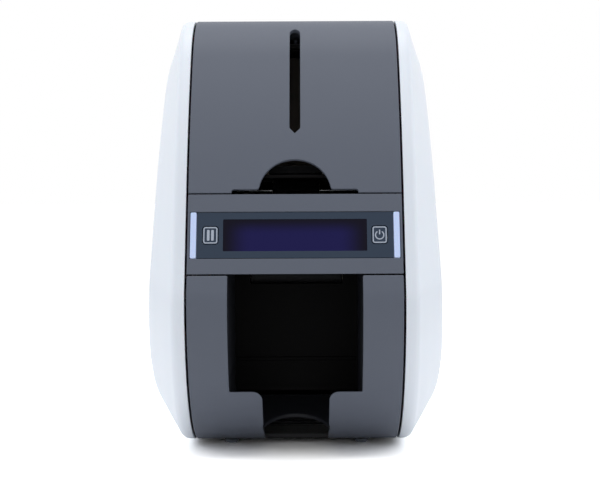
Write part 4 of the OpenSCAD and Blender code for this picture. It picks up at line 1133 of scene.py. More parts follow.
@dataclass
class HopperCover:
    """The front cover of the hopper: a panel bent on the outline, its skirts and its hinge barrel.

    Attributes:
        bench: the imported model.
        band_x: half width of the panel.
        wall: thickness of the panel and the skirts.
        skirt: how deep the skirts reach under the outline.
        knuckle: X at which the long barrel ends and the short outer one starts.
        bore_r: radius of the hinge pin's bore.
        bore_deep: depth of that bore.
        slit_w: width of the card level slit.
        slit_rise: height of its lower end above the cover's edge.
        slit_drop: how far its upper end lies under the printer's top.
        notch_r: radius of the thumb notch.
        fillet_r: radius of the fillets between the notch and the low slot.
        slot_w: width of the low slot.
        slot_h: height of the low slot.
        slot_corner: radius of its corners.
        soft: radius of the panel's rounded edges.
    """

    bench: Bench
    band_x: float = 61.3
    wall: float = 2.5
    skirt: float = 12.0
    knuckle: Point2 = (55.4, 58.2)
    bore_r: float = 1.55
    bore_deep: float = 12.0
    slit_w: float = 6.3
    slit_rise: float = 35.2
    slit_drop: float = 13.0
    notch_r: float = 21.0
    fillet_r: float = 1.6
    slot_w: float = 73.0
    slot_h: float = 2.2
    slot_corner: float = 1.5
    soft: float = 0.35

    def __post_init__(self) -> None:
        """Finds where the panel starts and ends along the outline."""
        line = self.bench.outline
        self.barrel, self.barrel_r = line.hopper_axis, line.hinge_r
        self.start_z = line.cover_z + line.seam / 2
        self.start = line.along_at(1, self.start_z, line.start_of(2), line.start_of(4))
        self.end = line.along_at(0, self.barrel[0], line.start_of(4), line.start_of(6))

    def along(self, z: float) -> float:
        """Returns the distance along the outline at a height of the cover's front."""
        line = self.bench.outline
        return line.along_at(1, z, line.start_of(2), line.start_of(5))

    def slit(self) -> Loop:
        """Returns the card level slit: round at the top and pointed at the bottom."""
        line, half = self.bench.outline, self.slit_w / 2
        low, high = line.cover_z + self.slit_rise, line.height - self.slit_drop
        head = arc_points((0, high - half), half, 0, 180, 20)
        front = [(0, low), (half, low + half), *head, (-half, low + half)]
        return [(x, self.along(z)) for x, z in front]

    def edge(self) -> Loop:
        """Returns the panel's outside, with the thumb notch and the low slot in its lower edge."""
        s, r, f, corner = self.start, self.notch_r, self.fillet_r, self.slot_corner
        half, roof = self.slot_w / 2, self.start + self.slot_h
        line = self.bench.outline
        middle = s - line.seam / 2 / math.cos(math.radians(line.console_tilt))
        # The fillet between the slot's roof and the notch lies in the panel
        up = roof + f - middle
        aside = math.sqrt((r + f) ** 2 - up**2)
        meet = math.degrees(math.atan2(up, aside))
        right = [*arc_points((aside, roof + f), f, 180 + meet, 270, 6),
                 *arc_points((half - corner, roof - corner), corner, 90, 0, 5), (half, s)]
        left = [(-x, y) for x, y in reversed(right)]
        notch = arc_points((0, middle), r, 180 - meet, meet, 44)[1:-1]
        return [(self.band_x, s), (self.band_x, self.end), (-self.band_x, self.end), (-self.band_x, s),
                *left, *notch, *right]

    def sides(self) -> Loop:
        """Returns the drawing of a skirt under the panel, from its lower edge to the hinge."""
        line, steps = self.bench.outline, 60
        spots = [self.start + (self.end - self.start) * i / steps for i in range(steps + 1)]
        upper = [line.at(spot, self.wall / 2) for spot in spots]
        inner = [line.at(spot, self.skirt) for spot in spots]
        inner = [p for p in inner if p[1] > self.start_z + 0.2 and p[0] < self.barrel[0] - 0.1]
        return [*upper, *reversed(inner), (inner[0][0], self.start_z)]

    def build(self) -> None:
        """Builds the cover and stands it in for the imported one."""
        bm = bent_panel(self.bench.outline, [self.edge(), self.slit()], self.wall, self.soft)
        for low in (-self.band_x, self.band_x - self.wall):
            add_slab(bm, [self.sides()], (low, low + self.wall))
        b, (k0, k1) = self.band_x, self.knuckle
        spot = along_x(self.barrel)
        for low, high in ((-b, -k1), (k1, b)):
            add_turned(bm, drum(self.barrel_r, low, high), spot, 40)
        deep, bore, r = k0 - self.bore_deep, self.bore_r, self.barrel_r
        add_turned(bm, [(0, -deep), (bore, -deep), (bore, -k0), (r, -k0),
                        (r, k0), (bore, k0), (bore, deep), (0, deep)], spot, 40)
        self.bench.stand_in(as_piece("hopper_cover_bent", bm, GREY_COVER), "hopper_cover")


@dataclass
class Covers:
    """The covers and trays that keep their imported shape, with true curves and rounded edges.

    Attributes:
        bench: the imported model.
        edge: width of the rounded edges of the covers.
        lip_edge: width of those of the tray.
        liner_edge: width of those of the bay's liner.
        tuck: how far the top cover's and the tray's sides are drawn in from the shells.
    """

    bench: Bench
    edge: float = 0.4
    lip_edge: float = 0.7
    liner_edge: float = 0.3
    tuck: float = 0.4

    def build(self) -> None:
        """Builds the covers."""
        soft = self.bench.softened
        soft("top_cover", GREY_COVER, self.edge, curved=True, tuck=self.tuck)
        soft("rear_cover", DARK_PLASTIC, self.edge, curved=True)
        soft("base_chassis", DARK_PLASTIC, self.edge, curved=True)
        # The tray's inside and its sides along the seams take painted shade
        soft("output_tray", GREY_COVER, self.lip_edge, curved=True, lining=TRAY_PAINTED_SHADE, tuck=self.tuck)
        # The bay's liner is black moulding with painted shade
        soft("bay_liner", BAY_BLACK_AND_SHADE, self.liner_edge)


# ---------------------------------------------------------------- console


@dataclass(frozen=True)
class DisplayGlass(Finish):
    """Glass over a liquid crystal that glows blue, with painted shade that darkens it toward its top and
    its sides.

    Attributes:
        rim: sRGB colour of the painted shade at the top and the sides.
        unlit: linear colour of the display under its glow.
        glow: strength of the light.
        half: half width and half height of the display, in millimetres.
        fade: how far in from the sides and from the top the painted shade reaches.
        middle: height of the display's middle, in millimetres.
    """

    rim: str = "#161320"
    unlit: Point3 = (0.004, 0.004, 0.006)
    glow: float = 0.62
    half: Point2 = (41.0, 9.0)
    fade: Point2 = (16.0, 9.0)
    middle: float = 131.4

    def _paint(self, tree: NodeTree, place: NodeSocket, surface: Node) -> None:
        """Gives the display its glow, with painted shade that darkens it toward the top and the sides."""
        spot = add_node(tree, "ShaderNodeSeparateXYZ", {0: place})
        aside = maths(tree, "ABSOLUTE", spot.outputs["X"])

        def growth(value: NodeSocket, start: float, end: float) -> NodeSocket:
            """Returns a share that grows from 0 to 1 between two places, in millimetres."""
            return add_node(tree, "ShaderNodeMapRange", {
                "Value": value, "From Min": start * MM, "From Max": end * MM},
                interpolation_type="SMOOTHSTEP").outputs[0]

        edge, top = self.half[0], self.middle + self.half[1]
        inward = growth(aside, edge, edge - self.fade[0])
        downward = growth(spot.outputs["Z"], top, top - self.fade[1])
        # Toward the top and the sides the glow turns to the rim's colour: painted shade
        share = maths(tree, "MULTIPLY", inward, downward)
        color = add_node(tree, "ShaderNodeMix", {
            "Factor": share, 6: linear(self.rim), 7: linear(self.tint)}, data_type="RGBA")
        tree.links.new(color.outputs[2], surface.inputs["Emission Color"])
        surface.inputs["Emission Strength"].default_value = self.glow
        surface.inputs["Base Color"].default_value = (*self.unlit, 1.0)


@dataclass(frozen=True)
class LitPlastic(Finish):
    """Milky plastic that carries light from behind.

    Attributes:
        glow: strength of the light.
    """

    glow: float = 0.25

    def _paint(self, tree: NodeTree, place: NodeSocket, surface: Node) -> None:
        """Gives the plastic its colour and its light."""
        super()._paint(tree, place, surface)
        surface.inputs["Emission Color"].default_value = linear(self.tint)
        surface.inputs["Emission Strength"].default_value = self.glow


# A deep blue glow, darkened by painted shade toward a nearly black rim at the top and the sides
DISPLAY = DisplayGlass("Glass over an STN display", "#221f58", 0.12, Grain.POLISHED, 8.0, 0.002, 0.0,
                       gloss=0.03)
# Cool, milky strips that are a little brighter than what lies round them
LIGHT_GUIDE = LitPlastic("PC, milky light guide", "#b4c4e6", 0.35, Grain.SPARKED, 0.6, 0.004, 0.01,
                         scatter=0.1)


@dataclass
class Console:
    """The leaning console: frame, lens, display window, keys with their printed signs, light bars.

    Places are (x, height) pairs from the console's lower edge, and depths go inward from its face.

    Attributes:
        bench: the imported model.
        frame_edge: width of the frame's rounded edges.
        frame_tuck: how far the frame's sides are drawn in from the shells.
        module_edge: width of the display module's rounded edges.
        lens: left and right end of the lens panel, then its lower and upper one.
        lens_y: depths of the panel's front and back.
        lens_r: radius of its corners.
        lens_edge: radius of its rounded edges.
        rib_gap: how far beside a key the rib behind the panel starts.
        rib_deep: how far the ribs reach behind the panel.
        rib_r: radius of their corners.
        window: left and right end of the display window, then its lower and upper one.
        window_r: radius of its corners.
        window_gap: gap round its pane.
        window_deep: thickness of its pane.
        key_x: how far a key's middle lies beside the console's.
        key_z: height of a key's middle.
        key: width and height of a key.
        key_r: radius of its corners.
        key_gap: gap round it.
        key_y: depths of its front and back.
        key_edge: radius of its rounded edges.
        stem_r: radius of its stem.
        stem_deep: length of its stem.
        stem_sunk: how far the stem starts inside the key.
        bar_x: how far beside the middle a light bar starts and ends.
        bar_y: depths of its front and back.
        bar_r: radius of its corners.
        bar_edge: radius of its rounded edges.
        print_inset: how far inside a key's edge its printed frame lies.
        print_line: width of the frame's line.
        print_h: how proud the ink is of the key.
    """

    bench: Bench
    frame_edge: float = 0.35
    frame_tuck: float = 0.4
    module_edge: float = 0.2
    lens: tuple[Point2, Point2] = ((-56.0, 56.0), (9.5, 36.7))
    lens_y: Point2 = (0.3, 2.1)
    lens_r: float = 0.8
    lens_edge: float = 0.12
    rib_gap: float = 1.5
    rib_deep: float = 1.9
    rib_r: float = 0.4
    window: tuple[Point2, Point2] = ((-41.0, 41.0), (13.65, 32.55))
    window_r: float = 0.5
    window_gap: float = 0.03
    window_deep: float = 1.55
    key_x: float = 48.2
    key_z: float = 23.1
    key: Point2 = (8.8, 10.5)
    key_r: float = 1.7
    key_gap: float = 0.3
    key_y: Point2 = (0.3, 3.2)
    key_edge: float = 0.18
    stem_r: float = 2.0
    stem_deep: float = 4.0
    stem_sunk: float = 0.2
    bar_x: Point2 = (56.3, 59.7)
    bar_y: Point2 = (-0.2, 4.0)
    bar_r: float = 0.7
    bar_edge: float = 0.35
    print_inset: float = 0.4
    print_line: float = 0.65
    print_h: float = 0.04

    def place(self, depth: float) -> Matrix:
        """Returns what puts an (x, height) drawing on the console, its third axis going inward."""
        face = Matrix(((1, 0, 0, 0), (0, 0, 1, 0), (0, 1, 0, 0), (0, 0, 0, 1)))
        line = self.bench.outline
        lean = Matrix.Rotation(math.radians(-line.console_tilt), 4, "X")
        start, inward = Matrix.Translation((0, *line.console_start)), Matrix.Translation((0, depth, 0))
        return MILLI @ start @ lean @ inward @ face

    def key_loop(self, side: float, grow: float = 0.0) -> Loop:
        """Returns the outline of a key, or of what is that much larger than one."""
        half_w, half_h = self.key[0] / 2 + grow, self.key[1] / 2 + grow
        x = side * self.key_x
        return rounded_rect((x - half_w, x + half_w), (self.key_z - half_h, self.key_z + half_h),
                            self.key_r + grow, 6)

    def build(self) -> None:
        """Builds the console's pieces."""
        self.bench.softened("console_frame", GREY_COVER, self.frame_edge, tuck=self.frame_tuck)
        self._lens()
        self._bars()
        self._key("pause_button", -1.0, self._pause_sign)
        self._key("power_button", 1.0, self._power_sign)
        self.bench.softened("lcd_module", DARK_PLASTIC, self.module_edge)

    def _lens(self) -> None:
        """Builds the printed lens panel, and the clear window that shows the display."""
        bm = bmesh.new()
        panel = rounded_rect(*self.lens, self.lens_r)
        window = rounded_rect(*self.window, self.window_r, 3)
        depth = self.lens_y[1] - self.lens_y[0]
        holes = [self.key_loop(side, self.key_gap) for side in (-1, 1)]
        add_plate(bm, [panel, window, *holes], depth, self.place(self.lens_y[0]), self.lens_edge)
        rib_x = self.key_x + self.key[0] / 2 + self.rib_gap
        for side in (-1, 1):
            rib = rounded_rect(on_side(side, rib_x, self.lens[0][1]), self.lens[1], self.rib_r, 2)
            add_plate(bm, [rib], self.rib_deep, self.place(self.lens_y[1]))
        self.bench.stand_in(as_piece("console_lens_panel", bm, PANEL_ACRYLIC), "console_lens")
        glass = bmesh.new()
        (x0, x1), (z0, z1) = self.window
        gap, sunk = self.window_gap, self.lens_edge
        pane = rounded_rect((x0 + gap, x1 - gap), (z0 + gap, z1 - gap), self.window_r, 3)
        add_plate(glass, [pane], self.window_deep, self.place(self.lens_y[0] + sunk))
        self.bench.join(as_piece("display_window", glass, DISPLAY), "console_lens")

    def _bars(self) -> None:
        """Builds the two light guides."""
        bm = bmesh.new()
        for side in (-1, 1):
            bar = rounded_rect(on_side(side, *self.bar_x), self.lens[1], self.bar_r, 5)
            add_plate(bm, [bar], self.bar_y[1] - self.bar_y[0], self.place(self.bar_y[0]), self.bar_edge)
        self.bench.stand_in(as_piece("light_guides", bm, LIGHT_GUIDE), "light_bars")

    def _key(self, name: str, side: float, sign: Callable[[BMesh, float], None]) -> None:
        """Builds a key with its stem, and the sign that rides on it."""
        bm = bmesh.new()
        near, far = self.key_y
        add_plate(bm, [self.key_loop(side)], far - near, self.place(near), self.key_edge)
        stem = arc_points((side * self.key_x, self.key_z), self.stem_r, 0, 360, 24)[:-1]
        add_plate(bm, [stem], self.stem_deep + self.stem_sunk, self.place(far - self.stem_sunk))
        self.bench.stand_in(as_piece(f"{name}_cap", bm, PANEL_ACRYLIC), name)
        ink = bmesh.new()
        insets = (self.print_inset, self.print_inset + self.print_line)
        self._ink(ink, [self.key_loop(side, -inset) for inset in insets])
        sign(ink, side * self.key_x)
        self.bench.join(as_piece(f"{name}_sign", ink, PRINT), name)

    def _ink(self, bm: BMesh, loops: Sequence[Loop]) -> None:
        """Adds one printed form, a hair proud of the key."""
        add_plate(bm, loops, self.print_h, self.place(self.key_y[0] - self.print_h))

    def _pause_sign(self, bm: BMesh, x: float) -> None:
        """Adds the two upright bars of the pause sign."""
        aside, width, half_h = 1.2, 1.5, 3.2
        for side in (-1, 1):
            left = x + side * aside - width / 2
            bar = rounded_rect((left, left + width), (self.key_z - half_h, self.key_z + half_h), 0.5, 4)
            self._ink(bm, [bar])

    def _power_sign(self, bm: BMesh, x: float) -> None:
        """Adds the broken ring and the upright stroke of the power sign."""
        gap, outer, inner = 32.0, 2.7, 2.05
        middle, half_w = (x, self.key_z - 0.2), 0.36
        ring = [*arc_points(middle, outer, 90 + gap, 450 - gap, 40),
                *arc_points(middle, inner, 450 - gap, 90 + gap, 40)]
        stroke = rounded_rect((x - half_w, x + half_w), (self.key_z + 0.2, self.key_z + 3.0), 0.25, 3)
        self._ink(bm, [ring])
        self._ink(bm, [stroke])


# ---------------------------------------------------------------- fasteners and feet


@dataclass
class Fasteners:
    """Pan-head screws with cross recesses, one solid copied to every place.

    Attributes:
        bench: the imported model.
        head: radius and height of the head.
        shank_r: radius of the shank.
        recess: half length and half width of an arm of the cross recess.
        recess_deep: depth of the recess.
        dome: share of the head's radius that is left at its top.
        chamfer: chamfer of the tip.
        plate_x: X of the frame plates' inside and outside.
        bite: how far a plate's screw reaches past it, from outside and from inside.
        side: (y, z) places of the screws that are seated on a plate's outside.
        board: (x, y) places of the main board's screws.
        board_z: height of their seats.
        board_long: their length.
        back: places of the back cover's screws, as x and distance up the back.
        back_lean: how far the back leans, in degrees.
        back_long: the length of its screws.
    """

    bench: Bench
    head: Point2 = (2.7, 1.6)
    shank_r: float = 1.5
    recess: Point2 = (1.55, 0.32)
    recess_deep: float = 0.9
    dome: float = 0.8
    chamfer: float = 0.3
    plate_x: Point2 = (56.0, 57.6)
    bite: Point2 = (3.0, 6.0)
    side: tuple[Point2, ...] = (
        (-62, 23), (60, 23), (-78, 45), (95, 42), (-66, 132), (134, 108), (138, 206), (92, 234),
        (-146, 125))
    board: tuple[Point2, ...] = ((-46, 84), (46, 84), (-46, 160), (46, 160))
    board_z: float = 62.1
    board_long: float = 7.0
    back: tuple[Point2, ...] = ((-50, 24), (50, 24), (-50, 120), (50, 120))
    back_lean: float = 15.0
    back_long: float = 6.4

    def screw(self, length: float) -> Object:
        """Returns one screw along -Z whose head's seat is at the origin."""
        r, h = self.head
        long, thick = self.recess
        shank, tip, floor = self.shank_r, self.chamfer, h - self.recess_deep
        bm = bmesh.new()
        add_turned(bm, [(0, -length), (shank - tip, -length), (shank, tip - length), (shank, 0.05),
                        (0, 0.05)], MILLI, 16)
        add_turned(bm, [(0, 0), (r, 0), (r, floor), (0, floor)], MILLI, 24)
        arm = ((long, -thick), (long, thick), (thick, thick))
        quarters = ((1, 0), (0, 1), (-1, 0), (0, -1))
        cross = [(a * x - b * y, a * y + b * x) for x, y in quarters for a, b in arm]
        rim = arc_points((0, 0), r, 0, 360, 24)[:-1]
        cap = bmesh.new()
        thicken(cap, fill(cap, [rim, cross]), self.recess_deep)
        for vert in cap.verts:
            if vert.co.z > 0 and vert.co.xy.length > r - 0.1:
                vert.co.xy *= self.dome
        merge_into(bm, cap, MILLI @ Matrix.Translation((0, 0, floor)))
        mesh = bpy.data.meshes.new("screw")
        bm.to_mesh(mesh)
        bm.free()
        return bpy.data.objects.new("screw", mesh)

    def places(self) -> list[tuple[float, list[tuple[Vector, Vector]]]]:
        """Returns each screw length with the seats and axes of the screws that have it."""
        x0, x1 = self.plate_x
        thick = x1 - x0
        outside = [(Vector((s * x1, *p)), Vector((s, 0, 0))) for s in (-1, 1) for p in self.side]
        inside = [(Vector((s * x0, *p)), Vector((-s, 0, 0))) for s in (-1, 1) for p in SHELL_POSTS]
        flat = [(Vector((x, y, self.board_z)), Vector((0, 0, 1))) for x, y in self.board]
        lean = Matrix.Rotation(math.radians(self.back_lean), 3, "X")
        start = Vector((0, *self.bench.outline.heel_start))
        behind = [(start + lean @ Vector((x, 0, s)), lean @ Vector((0, 1, 0))) for x, s in self.back]
        return [(thick + self.bite[0], outside), (thick + self.bite[1], inside),
                (self.board_long, flat), (self.back_long, behind)]

    def build(self, copies: Recipe) -> None:
        """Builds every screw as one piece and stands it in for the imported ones."""
        bm = bmesh.new()
        for length, spots in self.places():
            spread = helper("screw places", [p * MM for p, _ in spots], [a for _, a in spots])
            batch = copies.run("screw batch", STEEL, Thing=self.screw(length), Places=spread)
            bm.from_mesh(batch.data)
            bpy.data.objects.remove(batch)
        self.bench.stand_in(as_piece("cross_head_screws", bm, STEEL), "screws")


@dataclass
class Feet:
    """Four turned rubber feet, tapered and rounded at the table.

    Attributes:
        bench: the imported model.
        x: how far beside the middle they stand.
        y: place of the front pair and of the back pair.
        top_r: radius at the printer.
        low_r: radius at the table.
    """

    bench: Bench
    x: float = 40.5
    y: Point2 = (-104.0, 116.0)
    top_r: float = 4.5
    low_r: float = 3.7

    def build(self) -> None:
        """Builds the feet."""
        bm = bmesh.new()
        high = self.bench.outline.foot
        section = [(0, 0), (self.low_r - 0.8, 0), (self.low_r - 0.2, 0.25), (self.low_r, 0.8),
                   (self.top_r, high - 0.3), (self.top_r - 0.3, high), (0, high)]
        for x in (-self.x, self.x):
            for y in self.y:
                add_turned(bm, section, MILLI @ Matrix.Translation((x, y, 0)), 40)
        self.bench.stand_in(as_piece("turned_feet", bm, FOOT_RUBBER), "feet")


# ---------------------------------------------------------------- rollers and drive


@dataclass(frozen=True)
class RollerSpec:
    """Where one roller lies and what sits on its shaft.

    Attributes:
        node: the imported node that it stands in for.
        place: its axis, as (y, z).
        sleeve: radius and length of its sleeve.
        shaft: radius of its shaft, then its two ends along X.
        cover: finish of the sleeve.
        pulleys: left end and radius of the belt track of each pulley.
    """

    node: str
    place: Point2
    sleeve: Point2
    shaft: Point3
    cover: Finish = RUBBER
    pulleys: tuple[Point2, ...] = ()


@dataclass
class Rollers:
    """All rollers and the motor's pulleys, turned from rubber, steel and acetal.

    Attributes:
        bench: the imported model.
        belt_w: width of a belt.
        flange: how far a pulley's flanges stand out past its track.
        cap: how much smaller than its sleeve the hub seen at each end is, and how proud of it.
        specs: the rollers.
    """

    bench: Bench
    belt_w: float = 5.0
    flange: float = 2.0
    cap: Point2 = (1.6, 0.25)
    specs: tuple[RollerSpec, ...] = (
        RollerSpec("pick_roller", (-59.4, 157.4), (9.0, 30.0), (3.0, -59.0, 66.6),
                   pulleys=((60.0, 8.0),)),
        RollerSpec("feed_roller", (-27.0, 159.5), (6.5, 58.0), (3.0, -66.2, 66.6),
                   pulleys=((-65.0, 8.0), (60.0, 8.0))),
        RollerSpec("platen_roller", (22.0, 159.5), (6.5, 58.0), (3.0, -73.6, 59.0),
                   pulleys=((-65.0, 8.0), (-72.4, 13.0))),
        RollerSpec("transport_roller", (54.0, 159.5), (6.5, 58.0), (3.0, -66.2, 59.0),
                   pulleys=((-65.0, 8.0),)),
        RollerSpec("exit_roller", (-80.249, 101.243), (5.5, 58.0), (3.0, -81.0, 59.0),
                   pulleys=((-79.8, 8.0),)),
        RollerSpec("cleaning_roller", (-27.0, 173.0), (6.5, 58.0), (3.0, -59.0, 59.0), TACKY),
        RollerSpec("pinch_roller", (54.0, 173.0), (6.5, 58.0), (3.0, -59.0, 59.0)),
        RollerSpec("exit_pinch", (-83.688, 112.216), (5.5, 58.0), (3.0, -59.0, 59.0)),
        RollerSpec("turner_roller", (108.0, 160.5), (5.5, 58.0), (2.0, -34.0, 34.0)),
        RollerSpec("turner_pinch", (108.0, 172.0), (5.5, 58.0), (2.0, -34.0, 34.0)),
        RollerSpec("motor_pulley", (40.0, 62.0), (0.0, 0.0), (2.5, -81.8, -45.0),
                   pulleys=((-72.4, 8.0), (-79.8, 8.0))),
    )

    def build(self) -> None:
        """Builds every roller."""
        for spec in self.specs:
            bm = bmesh.new()
            spot = along_x(spec.place)
            radius, length = spec.sleeve
            if radius:
                add_turned(bm, drum(radius, -length / 2, length / 2, 0.4), spot, 56)
                inset, proud = self.cap
                for side in (-1, 1):
                    low, high = on_side(side, length / 2, length / 2 + proud)
                    add_turned(bm, drum(radius - inset, low, high, 0.1), spot, 40, 2)
            add_turned(bm, drum(*spec.shaft, 0.4), spot, 32, 1)
            for start, track in spec.pulleys:
                add_turned(bm, self.pulley(start, track), spot, 48, 2)
            piece = as_piece(f"{spec.node}_turned", bm, spec.cover, SHAFT_STEEL, ACETAL)
            self.bench.stand_in(piece, spec.node)

    def pulley(self, start: float, track: float) -> Loop:
        """Returns the section of a flanged pulley whose belt runs inward from a place along X."""
        r = track + self.flange
        half = [(0, 1.2), (r - 0.3, 1.2), (r, 0.9), (r, 0.5), (track, 0.2)]
        return [*((radius, start - past) for radius, past in half),
                *((radius, start + self.belt_w + past) for radius, past in reversed(half))]


@dataclass
class Ribbon:
    """The two spools with their rolls of film; the driven one has a hexagon on its shaft.

    Attributes:
        bench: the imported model.
        film_x: half width of the film.
        journal: radius and half length of a spool's shaft.
        core_r: radius of its core.
        core_past: how far the core reaches past the film.
        flange: thickness of its flanges.
        flange_gap: gap between the film and a flange.
        spools: each spool's node, its (y, z) place, and the radii of its roll and its flanges.
        driven: node of the driven spool.
        drive_hex: radius of the hexagon, then its two ends along X.
    """

    bench: Bench
    film_x: float = 28.0
    journal: Point2 = (3.5, 40.0)
    core_r: float = 6.0
    core_past: float = 4.0
    flange: float = 1.2
    flange_gap: float = 1.4
    spools: tuple[tuple[str, Point2, float, float], ...] = (
        ("supply_spool", (62.0, 203.0), 13.0, 15.0), ("take_up_spool", (-22.0, 203.0), 9.0, 11.0))
    driven: str = "take_up_spool"
    drive_hex: Point3 = (2.5, -43.0, -39.0)

    def build(self) -> None:
        """Builds the spools."""
        for node, place, roll, flange_r in self.spools:
            bm = bmesh.new()
            spot = along_x(place)
            x, (shaft_r, reach) = self.film_x, self.journal
            add_turned(bm, drum(roll, -x, x, 0.2), spot, 64, 1)
            add_turned(bm, drum(self.core_r, -x - self.core_past, x + self.core_past), spot, 40)
            add_turned(bm, drum(shaft_r, -reach, reach), spot, 32)
            near = x + self.flange_gap
            for side in (-1, 1):
                low, high = on_side(side, near, near + self.flange)
                add_turned(bm, drum(flange_r, low, high), spot, 48)
            if node == self.driven:
                add_turned(bm, drum(*self.drive_hex), spot, 6)
            self.bench.stand_in(as_piece(f"{node}_wound", bm, SPOOL, FILM), node)


@dataclass(frozen=True)
class DyeFilm(Finish):
    """Thin film coated with yellow, red, blue and black panels that follow one another.

    Attributes:
        panel_mm: length of one panel.
        dyes: sRGB colour of each panel of a set.
    """

    panel_mm: float = 11.0
    dyes: tuple[str, ...] = ("#8a7a22", "#7c2450", "#1d5078", "#1a191d")

    def _paint(self, tree: NodeTree, place: NodeSocket, surface: Node) -> None:
        """Gives the film its panels, one after the other along Y."""
        spot = add_node(tree, "ShaderNodeSeparateXYZ", {0: place})
        sets = maths(tree, "DIVIDE", spot.outputs["Y"], self.panel_mm * len(self.dyes) * MM)
        ramp = add_node(tree, "ShaderNodeValToRGB", {"Fac": maths(tree, "FRACT", sets)})
        ramp.color_ramp.interpolation = "CONSTANT"
        stops = ramp.color_ramp.elements
        for i, dye in enumerate(self.dyes):
            start = i / len(self.dyes)
            stop = stops[i] if i < len(stops) else stops.new(start)
            stop.position = start
            stop.color = linear(dye)
        tree.links.new(ramp.outputs["Color"], surface.inputs["Base Color"])


# Thin glossy film in bands of dim colour, with a clear glint along every roll
FILM = DyeFilm("PET film, dye-coated panels", "#5a3f6e", 0.22, Grain.POLISHED, 6.0, 0.004, 0.0,
               coat=0.3)


@dataclass
class LatchSpring:
    """The coil spring under the latch button, a round wire swept along a helix.

    Attributes:
        bench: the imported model.
        coil_r: radius of the coil, to the middle of the wire.
        wire_r: radius of the wire.
        turns: number of turns.
    """

    bench: Bench
    coil_r: float = 2.4
    wire_r: float = 0.25
    turns: float = 4.0

    def build(self) -> None:
        """Builds the spring."""
        made = Recipe("wire along a helix")
        numbers = ("Coil radius", "Wire radius", "Height", "Turns")
        coil, wire, high, turns = (made.ask(name, "Float") for name in numbers)
        seat = made.ask("Seat", "Vector")
        helix = made.add("GeometryNodeCurveSpiral", {
            "Resolution": 28, "Rotations": turns, "Start Radius": coil, "End Radius": coil,
            "Height": high})
        ring = made.add("GeometryNodeCurvePrimitiveCircle", {"Resolution": 12, "Radius": wire})
        tube = made.add("GeometryNodeCurveToMesh", {
            "Curve": helix.outputs["Curve"], "Profile Curve": ring.outputs["Curve"], "Fill Caps": True})
        moved = made.add("GeometryNodeTransform", {
            "Geometry": tube.outputs["Mesh"], "Translation": seat})
        made.deliver(moved.outputs["Geometry"])
        low, top = self.bench.box("latch_spring")
        foot = Vector(((low.x + top.x) / 2, (low.y + top.y) / 2, low.z + self.wire_r))
        spring = made.run(
            "latch_spring_coiled", SHAFT_STEEL, Coil_radius=self.coil_r * MM,
            Wire_radius=self.wire_r * MM, Height=(top.z - low.z - 2 * self.wire_r) * MM,
            Turns=self.turns, Seat=tuple(foot * MM))
        self.bench.stand_in(spring, "latch_spring")


# ---------------------------------------------------------------- inner parts


@dataclass
class InnerParts:
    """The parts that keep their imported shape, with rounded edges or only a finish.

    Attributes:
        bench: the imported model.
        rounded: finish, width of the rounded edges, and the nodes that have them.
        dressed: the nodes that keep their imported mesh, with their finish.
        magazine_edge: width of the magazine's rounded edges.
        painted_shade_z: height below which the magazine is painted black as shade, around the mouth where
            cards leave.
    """

    bench: Bench
    rounded: tuple[tuple[Finish, float, str], ...] = (
        (BLACK_STEEL, 0.3, "card_weight"),
        (LEVER_BLUE, 0.3, "gate_lever"),
        (PATH_PLASTIC, 0.2, "path_deck return_chute"),
        (PATH_PLASTIC, 0.15, "turner_frame"),
        (ALUMINIUM, 0.2, "head_bracket"),
        (CERAMIC, 0.2, "thermal_head"),
        (CASSETTE, 0.3, "ribbon_cassette"),
        (GREY_COVER, 0.35, "latch_button"),
        (BLACK_STEEL, 0.2, "latch_hooks"),
        (DARK_PLASTIC, 0.2, "power_rocker"),
        (MOTOR_CAN, 0.6, "main_motor"),
        (DARK_PLASTIC, 0.2, "switch_body power_inlet"),
        (SOCKET_METAL, 0.15, "data_sockets"),
        (DARK_PLASTIC, 0.2, "fan_frame"),
        (DARK_PLASTIC, 0.1, "fan_impeller"),
        (ACETAL, 0.1, "turner_pinion"),
        (STEEL, 0.15, "frame_left frame_right"),
        (MOTOR_CAN, 0.4, "gear_motors"),
        (SHAFT_STEEL, 0.2, "tie_rods"),
        (BRONZE, 0.1, "bushings"),
        (SHAFT_STEEL, 0.2, "hinge_pins"),
        (BOARD, 0.05, "button_board main_board"),
    )
    dressed: tuple[tuple[str, Finish], ...] = (("drive_belts", BELT), ("ribbon_film", FILM))
    magazine_edge: float = 0.3
    painted_shade_z: float = 178.0

    def build(self) -> None:
        """Builds or dresses each part."""
        magazine = self.bench.softened("magazine", MAGAZINE_WITH_PAINTED_LIGHT, self.magazine_edge)
        # Its upper part carries painted light, and below the set height it is painted black as shade
        magazine.data.materials.append(BAY_BLACK_AND_SHADE.material())
        for face in magazine.data.polygons:
            face.material_index = int(face.center.z < self.painted_shade_z * MM)
        for finish, width, nodes in self.rounded:
            for node in nodes.split():
                self.bench.softened(node, finish, width)
        for node, finish in self.dressed:
            self.bench.dress(node, finish)


# ---------------------------------------------------------------- studio


